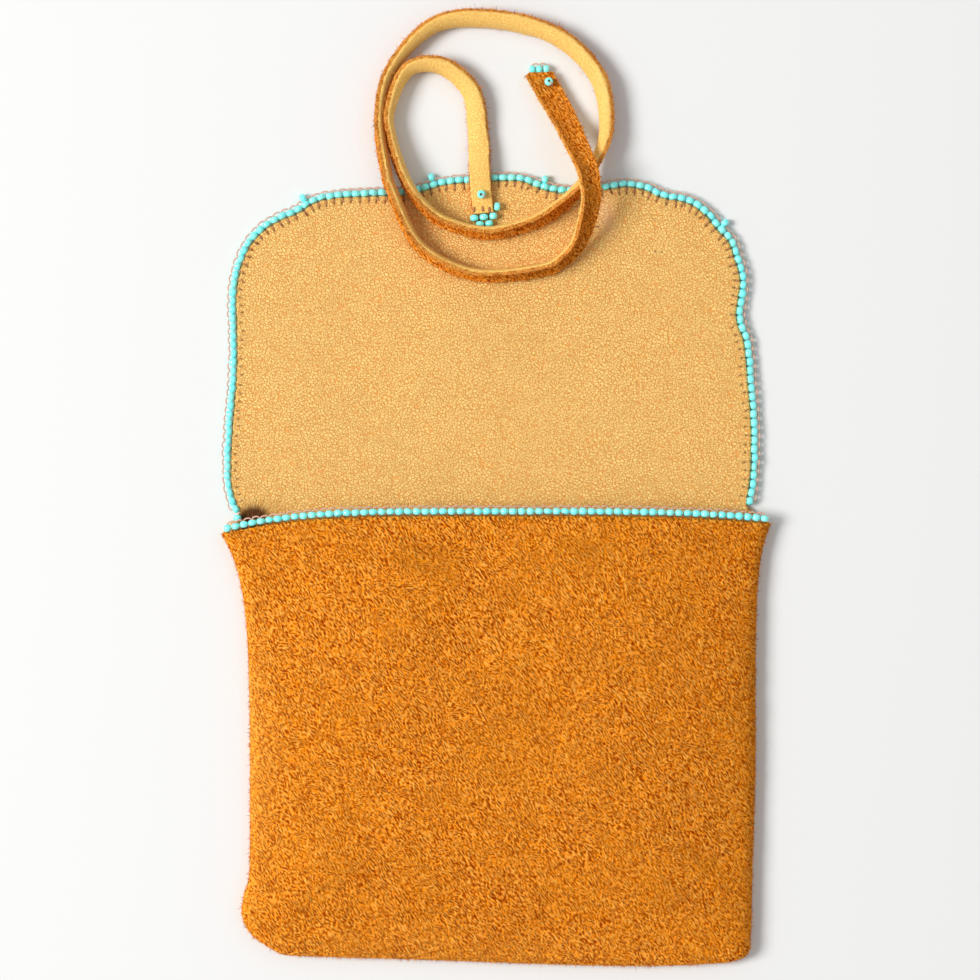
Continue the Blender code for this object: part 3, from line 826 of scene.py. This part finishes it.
def lip_edge():
    """The lip's cut edge, from the left end of the mouth to the right."""
    pouch, _ = leather_outline()
    x = np.linspace(pouch[-1, 0], pouch[0, 0], 400)
    return np.stack([x, lip_height(x) - edging_reach()], axis=1)


def lip_sewing():
    return Sewing(lip_edge()[::-1], lip_row()[0], sizes().stitch * 0.6, sizes().groove * 0.7, 7)


def creased(points):
    """How far the creases sink the smooth leather."""
    sunk = np.zeros(len(points))
    for x, y, heading, long, deep in CREASES:
        turn = math.radians(heading)
        ahead = np.array([math.cos(turn), math.sin(turn)])
        from_start = points - np.array([x, y]) * MM
        share = from_start @ ahead / (long * MM)
        aside = from_start @ np.array([-ahead[1], ahead[0]]) - 0.00035 * np.sin(share * 4 + x)
        taper = np.clip(np.minimum(share + 0.1, 1 - share) * 2.2, 0, 1)
        width = 0.00030 + 0.00035 * np.clip(share, 0, 1)
        sunk += deep * MM * taper * (bell(aside, width) - 0.35 * bell(aside, width * 2.2))
    return -sunk


class BAG_OT_back_and_flap(bpy.types.Operator):
    """Build the sheet of leather that makes the back and the flap"""

    bl_idname = "bag.back_and_flap"
    bl_label = "Back and flap"

    def execute(self, context):
        pouch, flap = leather_outline()
        sewn = evenly_spaced(flap, BEAD_PITCH / BEAD_STEPS)
        outline = np.vstack([evenly_spaced(pouch, POUCH_STEP)[:-1], sewn])
        left, right = outline[:, 0].min(), outline[:, 0].max()
        creased_band = ((left, 0.0), (right, 0.007), 0.0008)
        tucked_ear = ((left, 0.0), (left + 0.022, 0.011), 0.0004)
        points, faces = triangulated(outline, FLAP_SPACING, (creased_band, tucked_ear))
        away = distance_from(closed(outline), points)
        relief, shift, shade = flap_sewing().relief(points)
        rounding = (1 - ramp(away, EDGE_ROUND)) ** 2
        gentle = 0.00014 + 0.00016 * waves(points, 0.05, 3) + 0.00006 * waves(points, 0.011, 4)
        lift = ramp(points[:, 1] - 0.002, EDGE_CALM) * ramp(away, EDGE_CALM) * gentle
        top = LEATHER - 0.00042 * rounding + lift + relief + creased(points)
        bottom = 0.00035 * rounding + np.maximum(lift, 0) * 0.5
        spots, faces = closed_sheet(points + shift, top, bottom, faces)
        count = len(points)
        slots = [0 if max(face) < count else 1 if min(face) >= count else 2 for face in faces]
        materials = [grain_finish(), suede_finish("back_suede", on_front=False), cut_edge_finish()]
        piece = mesh_piece("back_and_flap_leather", spots, faces, materials, slots, 60)
        keep_values(piece, "stitch_shade", shade)
        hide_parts("back_and_flap")
        return {"FINISHED"}


def front_top(points):
    """The height of the front's suede, its points' movement in the plane and its stitches' shade."""
    away = distance_from(leather_outline()[0], points)
    near = distance_from(lip_edge(), points)
    rise = (RIM_WALL + ROLL_RISE + LEATHER / 2 - FOOT) * rolled(away, ROLL_WIDTH + LEATHER / 2)
    soft = 0.00055 * waves(points, 0.055, 11) + 0.00022 * waves(points, 0.018, 5)
    soft = ramp(away, EDGE_CALM) * soft + 0.00006 * waves(points, 0.0045, 8)
    top = LEATHER + SEAM_GAP + FOOT + rise + dome(away - LEATHER / 2, -points[:, 1])
    top = top + soft * ramp(near, 0.01) - 0.00035 * (1 - ramp(near, 0.0006)) ** 2
    relief, shift, shade = lip_sewing().relief(points)
    inner = ramp(away, SEAM_CALM)
    return top + relief * inner, shift * inner[:, None], shade * inner


def front_outline():
    """The front's outline, from the right end of the mouth round the seam and back along the lip."""
    pouch, _ = leather_outline()
    mouth = evenly_spaced(lip_edge(), BEAD_PITCH / BEAD_STEPS)
    return np.vstack([evenly_spaced(pouch, 0.0007), mouth[1:-1]])


class BAG_OT_front_panel(bpy.types.Operator):
    """Build the full suede front"""

    bl_idname = "bag.front_panel"
    bl_label = "Front panel"

    def execute(self, context):
        pouch, _ = leather_outline()
        points, faces = triangulated(front_outline(), FRONT_SPACING)
        top, shift, shade = front_top(points)
        on_seam = distance_from(pouch, points) < 0.00003
        below = {}
        walls = []
        for start, end in boundary_of(faces):
            if on_seam[start] and on_seam[end]:
                for index in (start, end):
                    below.setdefault(index, len(points) + len(below))
                walls.append((start, below[start], below[end], end))
        foot = [(*points[index], LEATHER + SEAM_GAP) for index in below]
        spots = np.vstack([np.column_stack([points + shift, top]), foot])
        piece = mesh_piece("front_panel_suede", spots, [*faces, *walls], [suede_finish()])
        keep_values(piece, "stitch_shade", shade)
        solid = piece.modifiers.new("Leather", "SOLIDIFY")
        solid.thickness = LEATHER
        solid.offset = -1.0
        apply_modifiers(piece)
        for vertex in piece.data.vertices:
            vertex.co.z = max(vertex.co.z, LEATHER + SEAM_GAP / 3)
        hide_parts("front_panel")
        return {"FINISHED"}


def apply_modifiers(piece):
    """Bake the piece's modifiers into its mesh."""
    evaluated = piece.evaluated_get(bpy.context.evaluated_depsgraph_get())
    data = bpy.data.meshes.new_from_object(evaluated)
    piece.modifiers.clear()
    piece.data = data


def ring_faces(rings, corners, joined=False, flipped=False):
    """The faces between neighbouring rings of points; joined adds those from the last ring to the first."""
    here = np.arange((rings if joined else rings - 1) * corners)
    beside = here - here % corners + (here + 1) % corners
    faces = np.stack([here, beside, beside + corners, here + corners], axis=1) % (rings * corners)
    return faces[:, [0, 3, 2, 1]] if flipped else faces


def bead_shape(segments=18, rings=12):
    """Points and faces of one bead about the origin, its hole along Z."""
    outer, hole, half = sizes().bead_diameter / 2, BEAD_HOLE / 2, sizes().bead_length / 2 * 1.08
    rim = hole + 0.00004
    turn = np.linspace(-1, 1, rings - 2) * math.pi / 2
    radial = np.append(rim + (outer - rim) * np.cos(turn) ** 0.9, [hole, hole])
    level = np.append(half * np.sign(turn) * np.abs(np.sin(turn)) ** 0.9, [half * 0.9, -half * 0.9])
    angle = 2 * math.pi * np.arange(segments) / segments
    across, along = np.outer(np.cos(angle), radial), np.outer(np.sin(angle), radial)
    points = np.stack([across, along, np.tile(level, (segments, 1))], axis=2)
    return points.reshape(-1, 3), ring_faces(segments, rings, joined=True, flipped=True)


def beads_piece(name, centres, axes, seed, spread=1.0):
    """A mesh of beads at centres, their holes along axes, each a little different."""
    rng = np.random.default_rng(seed)
    points, faces = bead_shape()
    all_points, all_faces = [], []
    for number, (centre, axis) in enumerate(zip(centres, axes)):
        axis = Vector(axis).normalized()
        axis = (axis + Vector(rng.normal(0, 0.11 * spread, 3))).normalized()
        turn = np.array(axis.to_track_quat("Z", "Y").to_matrix())
        width = 1.0 + rng.normal(0, 0.025) * spread
        length = 1.0 + rng.normal(0, 0.06) * spread
        shaped = points * (width, width, length)
        all_points.append(shaped @ turn.T + np.array(centre))
        all_faces.append(faces + number * len(points))
    return mesh_piece(name, np.vstack(all_points), np.vstack(all_faces), [finish("bead")])


def finish(kind):
    """The bag's shared materials, each made once."""
    makers = {
        "bead": ("bead_glass", bead_finish),
        "thread": ("copper_thread", lambda: thread_finish("copper_thread", tuple(colours().thread))),
        "stitch": ("shaded_thread", lambda: thread_finish("shaded_thread", (0.62, 0.25, 0.11))),
    }
    name, maker = makers[kind]
    return bpy.data.materials.get(name) or maker()


def tubes(paths, radius, sides=6):
    """Points and faces of many small tubes whose paths all have the same number of points."""
    paths = np.array(paths, float)
    count, length, _ = paths.shape
    ahead = unit(np.gradient(paths, axis=1))
    steep = np.abs(ahead[..., 2]) > 0.9
    helper = np.stack([steep, np.zeros_like(steep), ~steep], axis=-1).astype(float)
    side = unit(np.cross(ahead, helper))
    up = np.cross(side, ahead)
    turn = np.arange(sides)[:, None] / sides * 2 * math.pi
    ring = np.cos(turn) * side[:, :, None, :] + np.sin(turn) * up[:, :, None, :]
    points = paths[:, :, None, :] + ring * radius
    faces = []
    for number in range(count):
        first = number * length * sides
        last = first + (length - 1) * sides
        faces.extend(ring_faces(length, sides) + first)
        faces.append(range(first + sides - 1, first - 1, -1))
        faces.append(range(last, last + sides))
    return points.reshape(-1, 3), faces


def strung(line, outward):
    """The centres and outward directions of the beads along a line."""
    total = lengths_along(line)[-1]
    count = max(2, round(total / BEAD_PITCH))
    wanted = (np.arange(count) + 0.5) / count * total
    return read_along(line, wanted), unit(read_along(line, wanted, outward))


def flap_row():
    """The flap's beads: their centres and outward directions."""
    _, flap = leather_outline()
    outward = -left_normals(flap)
    centres, facing = strung(flap + outward * edging_reach(), outward)
    count = len(centres)
    rng = np.random.default_rng(21)
    level = sizes().bead_diameter / 2 + rng.uniform(0.0, 0.00025, count)
    centres = centres + facing * rng.normal(0, 0.00007, (count, 1))
    return np.column_stack([centres, level]), np.column_stack([facing, np.zeros(count)])


def lip_row():
    """The lip's beads: their centres and outward directions."""
    pouch, _ = leather_outline()
    half = MOUTH_WIDTH / 2 - sizes().bead_length / 2
    x = np.linspace(-half, half, 600)
    y = lip_height(x)
    away = distance_from(pouch, np.stack([x, y], axis=1))
    z = LEATHER + SEAM_GAP + sizes().bead_diameter / 2
    z = z + ROLL_RISE * rolled(away, ROLL_WIDTH) + dome(away, edging_reach())
    line = np.stack([x, y, z], axis=1)
    centres, facing = strung(line, np.column_stack([left_normals(line), np.zeros(len(line))]))
    rng = np.random.default_rng(22)
    centres[:, 2] += rng.normal(0, 0.0001, len(centres))
    return centres, facing


class BAG_OT_bead_edgings(bpy.types.Operator):
    """String the beads of the flap's edge and of the lip"""

    bl_idname = "bag.bead_edgings"
    bl_label = "Bead edgings"

    def execute(self, context):
        for row, node, seed in ((flap_row, "flap_bead_edging", 1), (lip_row, "lip_bead_edging", 2)):
            centres, facing = row()
            piece = beads_piece(node + "_beads", centres, facing, seed)
            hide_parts(node)
        return {"FINISHED"}


def bead_place(node):
    """The centre of a single bead in the frame and the direction of its hole."""
    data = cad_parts[node].data
    points = np.array([vertex.co[:] for vertex in data.vertices])
    centre = (points.min(axis=0) + points.max(axis=0)) / 2
    spread = np.unique(np.round(points, 6), axis=0) - centre
    _, axes = np.linalg.eigh(spread.T @ spread)
    return centre, axes[:, 0]


ON_TIE = ["tie_ring_bead", "tie_tip_bead_1", "tie_tip_bead_2", "tie_tip_bead_3", "tie_face_bead"]
ON_FLAP = [f"picot_bead_{n}" for n in range(1, 5)] + ["corner_bead"]
ON_FLAP += [f"tie_root_bead_{n}" for n in range(1, 7)]


class BAG_OT_single_beads(bpy.types.Operator):
    """Place the single beads"""

    bl_idname = "bag.single_beads"
    bl_label = "Single beads"

    def execute(self, context):
        for number, node in enumerate(ON_TIE + ON_FLAP):
            centre, axis = bead_place(node)
            if node.startswith("picot"):
                axis = np.array([-axis[1], axis[0], 0.0])
            piece = beads_piece(node + "_glass", [centre], [axis], 40 + number, 0.6)
            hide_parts(node)
        return {"FINISHED"}


def tie_line(points_apart=0.0008):
    """The tie's centreline and roll, evenly spaced: x, y, z and the roll in radians."""
    rows = []
    for x, y, under, roll in TIE_ROUTE:
        turn = math.radians(roll)
        half = (TIE_WIDTH * abs(math.sin(turn)) + TIE_THICKNESS * abs(math.cos(turn))) / 2
        rows.append((x * MM, y * MM + FLAP_LENGTH, under * MM + half, turn))
    path = smooth_path(rows, 24)
    total = lengths_along(path[:, :3])[-1]
    wanted = np.linspace(0.0, total, round(total / points_apart) + 1)
    return read_along(path[:, :3], wanted, path)


def tie_frames(line):
    """Along the tie: its directions, the directions of its width and of its smooth face."""
    ahead = unit(np.gradient(line[:, :3], axis=0))
    left = unit(np.cross((0.0, 0.0, 1.0), ahead))
    up = np.cross(ahead, left)
    settled = soft_step(line[:, 3], *TIE_SETTLED[:2]) * (1 - soft_step(line[:, 3], *TIE_SETTLED[2:]))
    roll = line[:, 3] - TIE_SETTLE * settled
    cos, sin = np.cos(roll)[:, None], np.sin(roll)[:, None]
    return ahead, left * cos - up * sin, up * cos + left * sin


def tie_point(line, frames, w, t):
    """A point of the tie's section at each place along it: w from -1 to 1 across, t off its middle.

    The strap widens towards its free end with wavering edges and cups most where it stands on edge. Its
    free end is cut at a slant, with one blunt corner.
    """
    ahead, wide, face = frames
    run = lengths_along(line[:, :3])
    share = run / run[-1]
    half = TIE_WIDTH / 2
    width = 0.95 + 0.05 * share + 0.15 * soft_step(share, 0.86, 1.0)
    width = width + 0.018 * np.sin(share * 60) + 0.013 * np.sin(share * 173 + 1)
    loose = 0.2 + 0.8 * soft_step(run, 0.008, 0.026)
    bow = sizes().cupping * loose * (0.45 + 0.55 * np.sin(line[:, 3]) ** 2)
    curl = bow * (1 - w**2 - (1 - np.cos(line[:, 3])) / 2)
    last = soft_step(run, run[-1] - 0.006, run[-1])
    across = w * half * width - 0.0004 * max(-w, 0.0) * soft_step(share, 0.86, 0.98)
    lean = math.tan(math.radians(TIE_CUT)) * np.maximum(across, -0.0024)
    blunt = 0.0012 * max(-w - 0.55, 0.0) ** 1.5
    back = last * (lean + blunt - 0.0005)
    return line[:, :3] + wide * across[:, None] + face * (t + curl)[:, None] - ahead * back[:, None]


def tie_section():
    """The tie's section: its points, and the material of the strip after each (0 smooth, 1 suede, 2 cut)."""
    thick = TIE_THICKNESS / 2
    level = np.linspace(-0.95, 0.95, 24)
    side = np.array([0.85, 0.35, -0.30, -0.85]) * thick
    section = [(w, thick) for w in level] + [(1.0, t) for t in side]
    section += [(-w, -thick) for w in level] + [(-1.0, t) for t in side[::-1]]
    plain = len(level) - 1
    return section, [0] * (plain + 2) + [2] * 3 + [1] * plain + [2] * 3 + [0] * 2


class BAG_OT_tie(bpy.types.Operator):
    """Build the long leather tie"""

    bl_idname = "bag.tie"
    bl_label = "Tie"

    def execute(self, context):
        line = tie_line()
        frames = tie_frames(line)
        count = len(line)
        rng = np.random.default_rng(31)
        section, zone = tie_section()
        corners = len(section)
        points = np.zeros((count, corners, 3))
        for index, (w, t) in enumerate(section):
            rough = FACE_ROUGH if t >= TIE_THICKNESS / 2 else CUT_ROUGH
            points[:, index] = tie_point(line, frames, w, t)
            points[:, index] += frames[2] * rng.normal(0, rough, (count, 1))
            if abs(w) == 1.0:
                points[:, index] += frames[1] * rng.normal(0, CUT_ROUGH, (count, 1)) * w
        points[..., 2] = np.maximum(points[..., 2], OFF_FLOOR)
        ends = [range(corners), range(count * corners - 1, (count - 1) * corners - 1, -1)]
        faces = [*ring_faces(count, corners, flipped=True), *ends]
        slots = zone * (count - 1) + [2, 2]
        rust = suede_finish("tie_suede", (0.95, 0.29, 0.013), (0.40, 0.065, 0.002), False)
        smooth = grain_finish("tie_grain", (1.0, 0.64, 0.17), (0.95, 0.50, 0.115), False)
        materials = [smooth, rust, cut_edge_finish()]
        piece = mesh_piece("tie_strap_leather", points.reshape(-1, 3), faces, materials, slots, 50)
        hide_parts("tie_strap")
        return {"FINISHED"}


class BAG_OT_declare_tie(bpy.types.Operator):
    """Work out the tie's centreline, and nothing more"""

    bl_idname = "bag.declare_tie"
    bl_label = "Declare the tie"

    def execute(self, context):
        line = tie_line()
        return {"FINISHED"}


def arcs_over(centres, facing, seed, half=None):
    """Thread arcs from each bead's hole to the next one's, standing outwards."""
    paths = []
    half = half or sizes().bead_length / 2
    rng = np.random.default_rng(seed)
    for (here, out_here), (there, out_there) in zip(zip(centres, facing), zip(centres[1:], facing[1:])):
        if np.linalg.norm(here - there) > 2 * BEAD_PITCH:
            continue
        onward = (there - here) / 2
        tall = half + 0.00060 * rng.uniform(0.8, 1.2)
        up = np.array((0.0, 0.0, 0.00025 * rng.uniform(0.0, 1.6)))
        legs = []
        for spot, out, way in ((here, out_here, onward), (there, out_there, -onward)):
            shoulder = spot + out * (half * 0.25 + tall * 0.75) + way * 0.42 + up * 0.6
            legs.append([spot + out * half * 0.3, spot + out * half * 1.02 + way * 0.10, shoulder])
        crown = (here + there) / 2 + (out_here + out_there) / 2 * tall + up
        paths.append(smooth_path([*legs[0], crown, *reversed(legs[1])], 3))
    return paths


def thread_piece(name, paths, thickness, kind):
    """Many short lengths of thread as one piece."""
    spots, faces = tubes(paths, thickness / 2)
    piece = mesh_piece(name, spots, faces, [finish(kind)])
    return piece


def bead_tacks():
    """Threads that hold the beads which lie flat on the tie: out of the hole, over the rim and down."""
    paths = []
    for node, (x, y) in (("tie_ring_bead", (0.8, -0.6)), ("tie_face_bead", (0.75, -0.65))):
        centre, _ = bead_place(node)
        outer, half = sizes().bead_diameter / 2, sizes().bead_length / 2
        controls = []
        for reach, level in ((0.0, -0.4), (0.25, 0.9), (0.65, 1.42), (1.05, 0.7), (1.14, -0.6), (1.1, -1.6)):
            controls.append(centre + np.array([x * reach * outer, y * reach * outer, level * half]))
        paths.append(smooth_path(controls, 3))
    return paths


def root_tacks():
    """Short stitches that hold the tie's root to the flap, each seen between its two holes."""
    paths = []
    for x, y, lean in ROOT_STITCHES:
        level = LEATHER + TIE_THICKNESS + 0.0006
        controls = []
        for share, drop in ((-0.5, 0.0007), (-0.36, 0.0001), (0.0, 0.0), (0.36, 0.0001), (0.5, 0.0007)):
            long = 0.0014 * share
            controls.append((x * MM + lean * long, y * MM + long, level - drop))
        paths.append(smooth_path(controls, 3))
    return paths


def tip_row():
    """The beads on the tie's end and the two places where their thread goes into the leather."""
    tips = [bead_place(f"tie_tip_bead_{number}") for number in (1, 2, 3)]
    tips.sort(key=lambda tip: tip[0][0])
    centres = np.array([centre for centre, _ in tips])
    facing = np.array([(-axis[1], axis[0], 0.0) for _, axis in tips])
    facing *= np.sign(facing[:, 1:2])
    outer = centres[[0, 2]]
    ends = outer + (outer - centres[1]) * (0.45, 0.45, 0.0) - facing[[0, 2]] * 0.0020
    return np.vstack([ends[:1], centres, ends[1:]]), facing[[0, 0, 1, 2, 2]]


class BAG_OT_thread(bpy.types.Operator):
    """Sew the thread arcs over the beads and the stitches into the leather"""

    bl_idname = "bag.thread"
    bl_label = "Thread"

    def execute(self, context):
        thread_piece("flap_thread_arcs", arcs_over(*flap_row(), 5), THREAD, "thread")
        thread_piece("lip_thread_arcs", arcs_over(*lip_row(), 9), THREAD, "thread")
        flap = flap_sewing()
        paths = flap.threads(lambda flat: LEATHER + flap.relief(flat)[0], THREAD_LIFT)
        thread_piece("flap_stitches", paths, THREAD * 0.85, "stitch")
        lip = lip_sewing()
        away = distance_from(leather_outline()[0], read_along(lip.edge.path, lip.places))
        paths = lip.threads(lambda flat: front_top(flat)[0], THREAD_LIFT)[away > 0.003]
        thread_piece("lip_stitches", paths, THREAD * 0.85, "stitch")
        thread_piece("tie_bead_tacks", bead_tacks(), THREAD * 0.9, "thread")
        paths = arcs_over(*tip_row(), 15, sizes().bead_diameter * 0.42)
        thread_piece("tie_tip_arcs", paths, THREAD, "thread")
        thread_piece("tie_root_tacks", root_tacks(), THREAD * 1.1, "stitch")
        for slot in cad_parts["seam_thread"].material_slots:
            slot.material = finish("thread")
        return {"FINISHED"}


def spikes(name, rings, tips, side, up, materials, slots):
    """Closed three-sided spikes: rings give their centres and radius at each level."""
    last = 3 * len(rings)
    points = np.zeros((len(tips), last + 1, 3))
    for level, (centre, radius) in enumerate(rings):
        for corner in range(3):
            turn = 2 * math.pi * corner / 3
            points[:, 3 * level + corner] = centre + (side * math.cos(turn) + up * math.sin(turn)) * radius
    points[:, last] = tips
    points[..., 2] = np.maximum(points[..., 2], OFF_FLOOR * 1.5)
    shape = [(2, 1, 0), *ring_faces(len(rings), 3).tolist()]
    shape += [(last - 3, last - 2, last), (last - 2, last - 1, last), (last - 1, last - 3, last)]
    starts = range(0, points.shape[0] * points.shape[1], last + 1)
    faces = [[start + corner for corner in face] for start in starts for face in shape]
    return mesh_piece(name, points.reshape(-1, 3), faces, materials, np.repeat(slots, len(shape)))


def fibres_piece(name, roots, directions, seed, length, materials):
    """Loose fibres: thin bent spikes, each closed and of one shade."""
    rng = np.random.default_rng(seed)
    count = len(roots)
    directions = unit(directions)
    long = length * rng.gamma(3.0, 0.33, count)[:, None] * np.where(rng.random((count, 1)) < 0.01, 1.8, 1.0)
    bend = rng.normal(0, 0.55, (count, 3))
    middle = roots + directions * long * 0.5 + bend * long * 0.10
    tips = roots + directions * long + bend * long * 0.45
    side = unit(np.cross(directions, rng.normal(0, 1, (count, 3))))
    radius = FIBRE_RADIUS * rng.uniform(0.6, 1.4, count)[:, None]
    slots = rng.integers(0, len(materials), count)
    rings = [(roots, radius), (middle, radius * 0.7)]
    return spikes(name, rings, tips, side, np.cross(directions, side), materials, slots)


class BAG_OT_fibres(bpy.types.Operator):
    """Grow the loose fibres along the cut edges and the suede's outline"""

    bl_idname = "bag.fibres"
    bl_label = "Loose fibres"

    def execute(self, context):
        rng = np.random.default_rng(77)
        self.on_tie(rng)
        self.on_pouch(rng)
        return {"FINISHED"}

    def on_tie(self, rng):
        line = tie_line(0.0002)
        frames = tie_frames(line)
        ahead, wide, face = frames
        thick = TIE_THICKNESS / 2
        left, right = (tie_point(line, frames, side, 0.0) for side in (-1.0, 1.0))
        middle = tie_point(line, frames, 0.0, -thick)
        count = round(lengths_along(line[:, :3])[-1] * 100 * sizes().fibres_per_cm)
        half = count // 2
        pick = rng.integers(0, len(line), count)
        side = rng.choice((-1.0, 1.0), count)[:, None]
        rim = np.where(side > 0, right[pick], left[pick])
        level = rng.uniform(-1, 0.45, count)[:, None]
        roots = rim - wide[pick] * side * rng.uniform(0, 0.0003, (count, 1)) + face[pick] * level * thick
        out = wide[pick] * side - face[pick] * rng.uniform(-0.2, 0.9, (count, 1))
        out = out + ahead[pick] * rng.normal(0, 0.6, (count, 1))
        pick = rng.integers(0, len(line), half)
        share = rng.uniform(0.0, 1.0, (half, 1))
        rim = np.where(rng.random((half, 1)) < 0.5, right[pick], left[pick])
        roots = np.vstack([roots, middle[pick] * (1 - share) + (rim - face[pick] * thick) * share])
        flow = ahead[pick] * rng.normal(0.4, 0.7, (half, 1))
        flow = flow + wide[pick] * rng.normal(0, 0.6, (half, 1))
        out = np.vstack([out, flow - face[pick] * 0.35])
        roots[:, 2] = np.maximum(roots[:, 2], 0.0001)
        out[:, 2] = np.maximum(out[:, 2], -0.1)
        materials = fibre_finishes("tie_fibres", TIE_SHADES)
        long = np.repeat((1.0, 0.6), (count, half))[:, None] * sizes().fibre
        piece = fibres_piece("tie_edge_fibres", roots, out, 78, long, materials)

    def on_pouch(self, rng):
        pouch, _ = leather_outline()
        fine = evenly_spaced(pouch, 0.0003)
        outward = -left_normals(fine)
        count = round(lengths_along(pouch)[-1] * 100 * sizes().fibres_per_cm * 0.25)
        pick = rng.integers(0, len(fine), count)
        low, high = LEATHER + SEAM_GAP, LEATHER + SEAM_GAP + 0.002
        level = rng.uniform(low, high, count)
        inset = ramp(level - low - 0.0006, 0.0016)[:, None] ** 2 * 0.0006
        roots = np.column_stack([fine[pick] - outward[pick] * inset, level])
        out = np.column_stack([outward[pick], rng.uniform(-0.2, 0.9, count)])
        out[:, :2] += rng.normal(0, 0.45, (count, 2))
        materials = fibre_finishes("suede_fibres", SUEDE_SHADES)
        piece = fibres_piece("pouch_edge_fibres", roots, out, 79, sizes().fibre * 0.75, materials)


class BAG_OT_nap(bpy.types.Operator):
    """Brush up the nap of the suede front"""

    bl_idname = "bag.nap"
    bl_label = "Nap"

    def execute(self, context):
        rng = np.random.default_rng(91)
        outline = front_outline()
        count = sizes().nap_fibres
        spots = rng.uniform(outline.min(axis=0), outline.max(axis=0), (round(count * 1.5), 2))
        spots = spots[inside(spots, outline[::6])][:count]
        spots = spots[distance_from(closed(outline), spots) > 0.0008]
        count = len(spots)
        top, _, shade = front_top(spots)
        heading = -0.85 + 0.45 * waves(spots, 0.012, 12) + 0.35 * waves(spots, 0.003, 13)
        heading = heading + rng.normal(0, 0.3, count)
        heading = heading + np.where(rng.random(count) < 0.12, rng.uniform(0, 6.28, count), 0)
        lean = rng.uniform(0.18, 0.55, count)
        cos, sin = np.cos(heading), np.sin(heading)
        ahead = np.stack([cos * np.cos(lean), sin * np.cos(lean), np.sin(lean)], axis=1)
        long = (0.0005 + 0.0006 * rng.random(count))[:, None]
        radius = rng.uniform(0.00007, 0.00011, count)[:, None]
        side = np.stack([-sin, cos, np.zeros(count)], axis=1)
        roots = np.column_stack([spots, top - 0.00004])
        # Fibres in the stitches' grooves take darker shades: painted shade.
        tuft = waves(spots, 0.0032, 15) * 0.15 + rng.normal(0, 0.7, count) - shade
        slots = np.digitize(tuft, (-0.60, -0.10, 0.50))
        materials = fibre_finishes("nap_fibres", SUEDE_SHADES)
        tips = roots + ahead * long
        piece = spikes("front_nap", [(roots, radius)], tips, side, np.cross(side, ahead), materials, slots)
        return {"FINISHED"}


class BAG_OT_stage(bpy.types.Operator):
    """Set the floor, the soft lights and the camera"""

    bl_idname = "bag.stage"
    bl_label = "Stage"

    def execute(self, context):
        scene = context.scene
        bpy.ops.mesh.primitive_plane_add(size=6.0, location=(0.0, 0.0, -0.0002))
        floor = context.object
        floor.name = "floor"
        paint = Paint("pale_floor", 0.9, specular_ior_level=0.1)
        paint.body = (0.78, 0.78, 0.77)
        floor.data.materials.append(paint.done())

        scene.world = scene.world or bpy.data.worlds.new("studio")
        scene.world.use_nodes = True
        background = scene.world.node_tree.nodes["Background"]
        background.inputs["Color"].default_value = (1.0, 1.0, 1.0, 1.0)
        background.inputs["Strength"].default_value = 0.45

        for name, place, size, watts in LAMPS:
            lamp = bpy.data.lights.new(name, "AREA")
            lamp.shape = "DISK"
            lamp.size = size
            lamp.energy = watts
            light = bpy.data.objects.new(name, lamp)
            light.location = place
            light.rotation_euler = (-Vector(place)).to_track_quat("-Z", "Y").to_euler()
            scene.collection.objects.link(light)

        lens = bpy.data.cameras.new("camera")
        lens.sensor_width = SENSOR
        lens.lens = SENSOR * CAMERA_HEIGHT / (FRAME_PIXELS * PIXEL)
        lens.clip_start = 0.01
        camera = bpy.data.objects.new("camera", lens)
        middle = FRAME_PIXELS / 2
        x = (middle - ORIGIN_PIXEL[0]) * PIXEL
        y = (ORIGIN_PIXEL[1] - middle) * PIXEL
        camera.location = (x, y, CAMERA_HEIGHT)
        scene.collection.objects.link(camera)
        scene.camera = camera
        scene.view_settings.view_transform = "Standard"
        return {"FINISHED"}


OPERATORS = [
    BAG_OT_stage, BAG_OT_tie, BAG_OT_single_beads, BAG_OT_back_and_flap, BAG_OT_front_panel,
    BAG_OT_bead_edgings, BAG_OT_thread, BAG_OT_fibres, BAG_OT_declare_tie, BAG_OT_nap,
]


class BAG_PT_panel(bpy.types.Panel):
    """The bag's pieces, sizes and colours"""

    bl_idname = "BAG_PT_panel"
    bl_label = "Beaded Medicine Bag"
    bl_space_type = "VIEW_3D"
    bl_region_type = "UI"
    bl_category = "Bag"

    def draw(self, context):
        for group in (context.scene.bag_sizes, context.scene.bag_colours):
            for name in group.bl_rna.properties.keys():
                if name not in ("rna_type", "name"):
                    self.layout.prop(group, name)
        for operator in OPERATORS:
            self.layout.operator(operator.bl_idname)


CLASSES = [BagSizes, BagColours, *OPERATORS, BAG_PT_panel]


def register():
    for item in CLASSES:
        bpy.utils.register_class(item)
    bpy.types.Scene.bag_sizes = PointerProperty(type=BagSizes)
    bpy.types.Scene.bag_colours = PointerProperty(type=BagColours)


def unregister():
    del bpy.types.Scene.bag_colours
    del bpy.types.Scene.bag_sizes
    for item in reversed(CLASSES):
        bpy.utils.unregister_class(item)


def main():
    register()
    for operator in OPERATORS:
        group, name = operator.bl_idname.split(".")
        getattr(getattr(bpy.ops, group), name)()


if __name__ == "__main__":
    main()
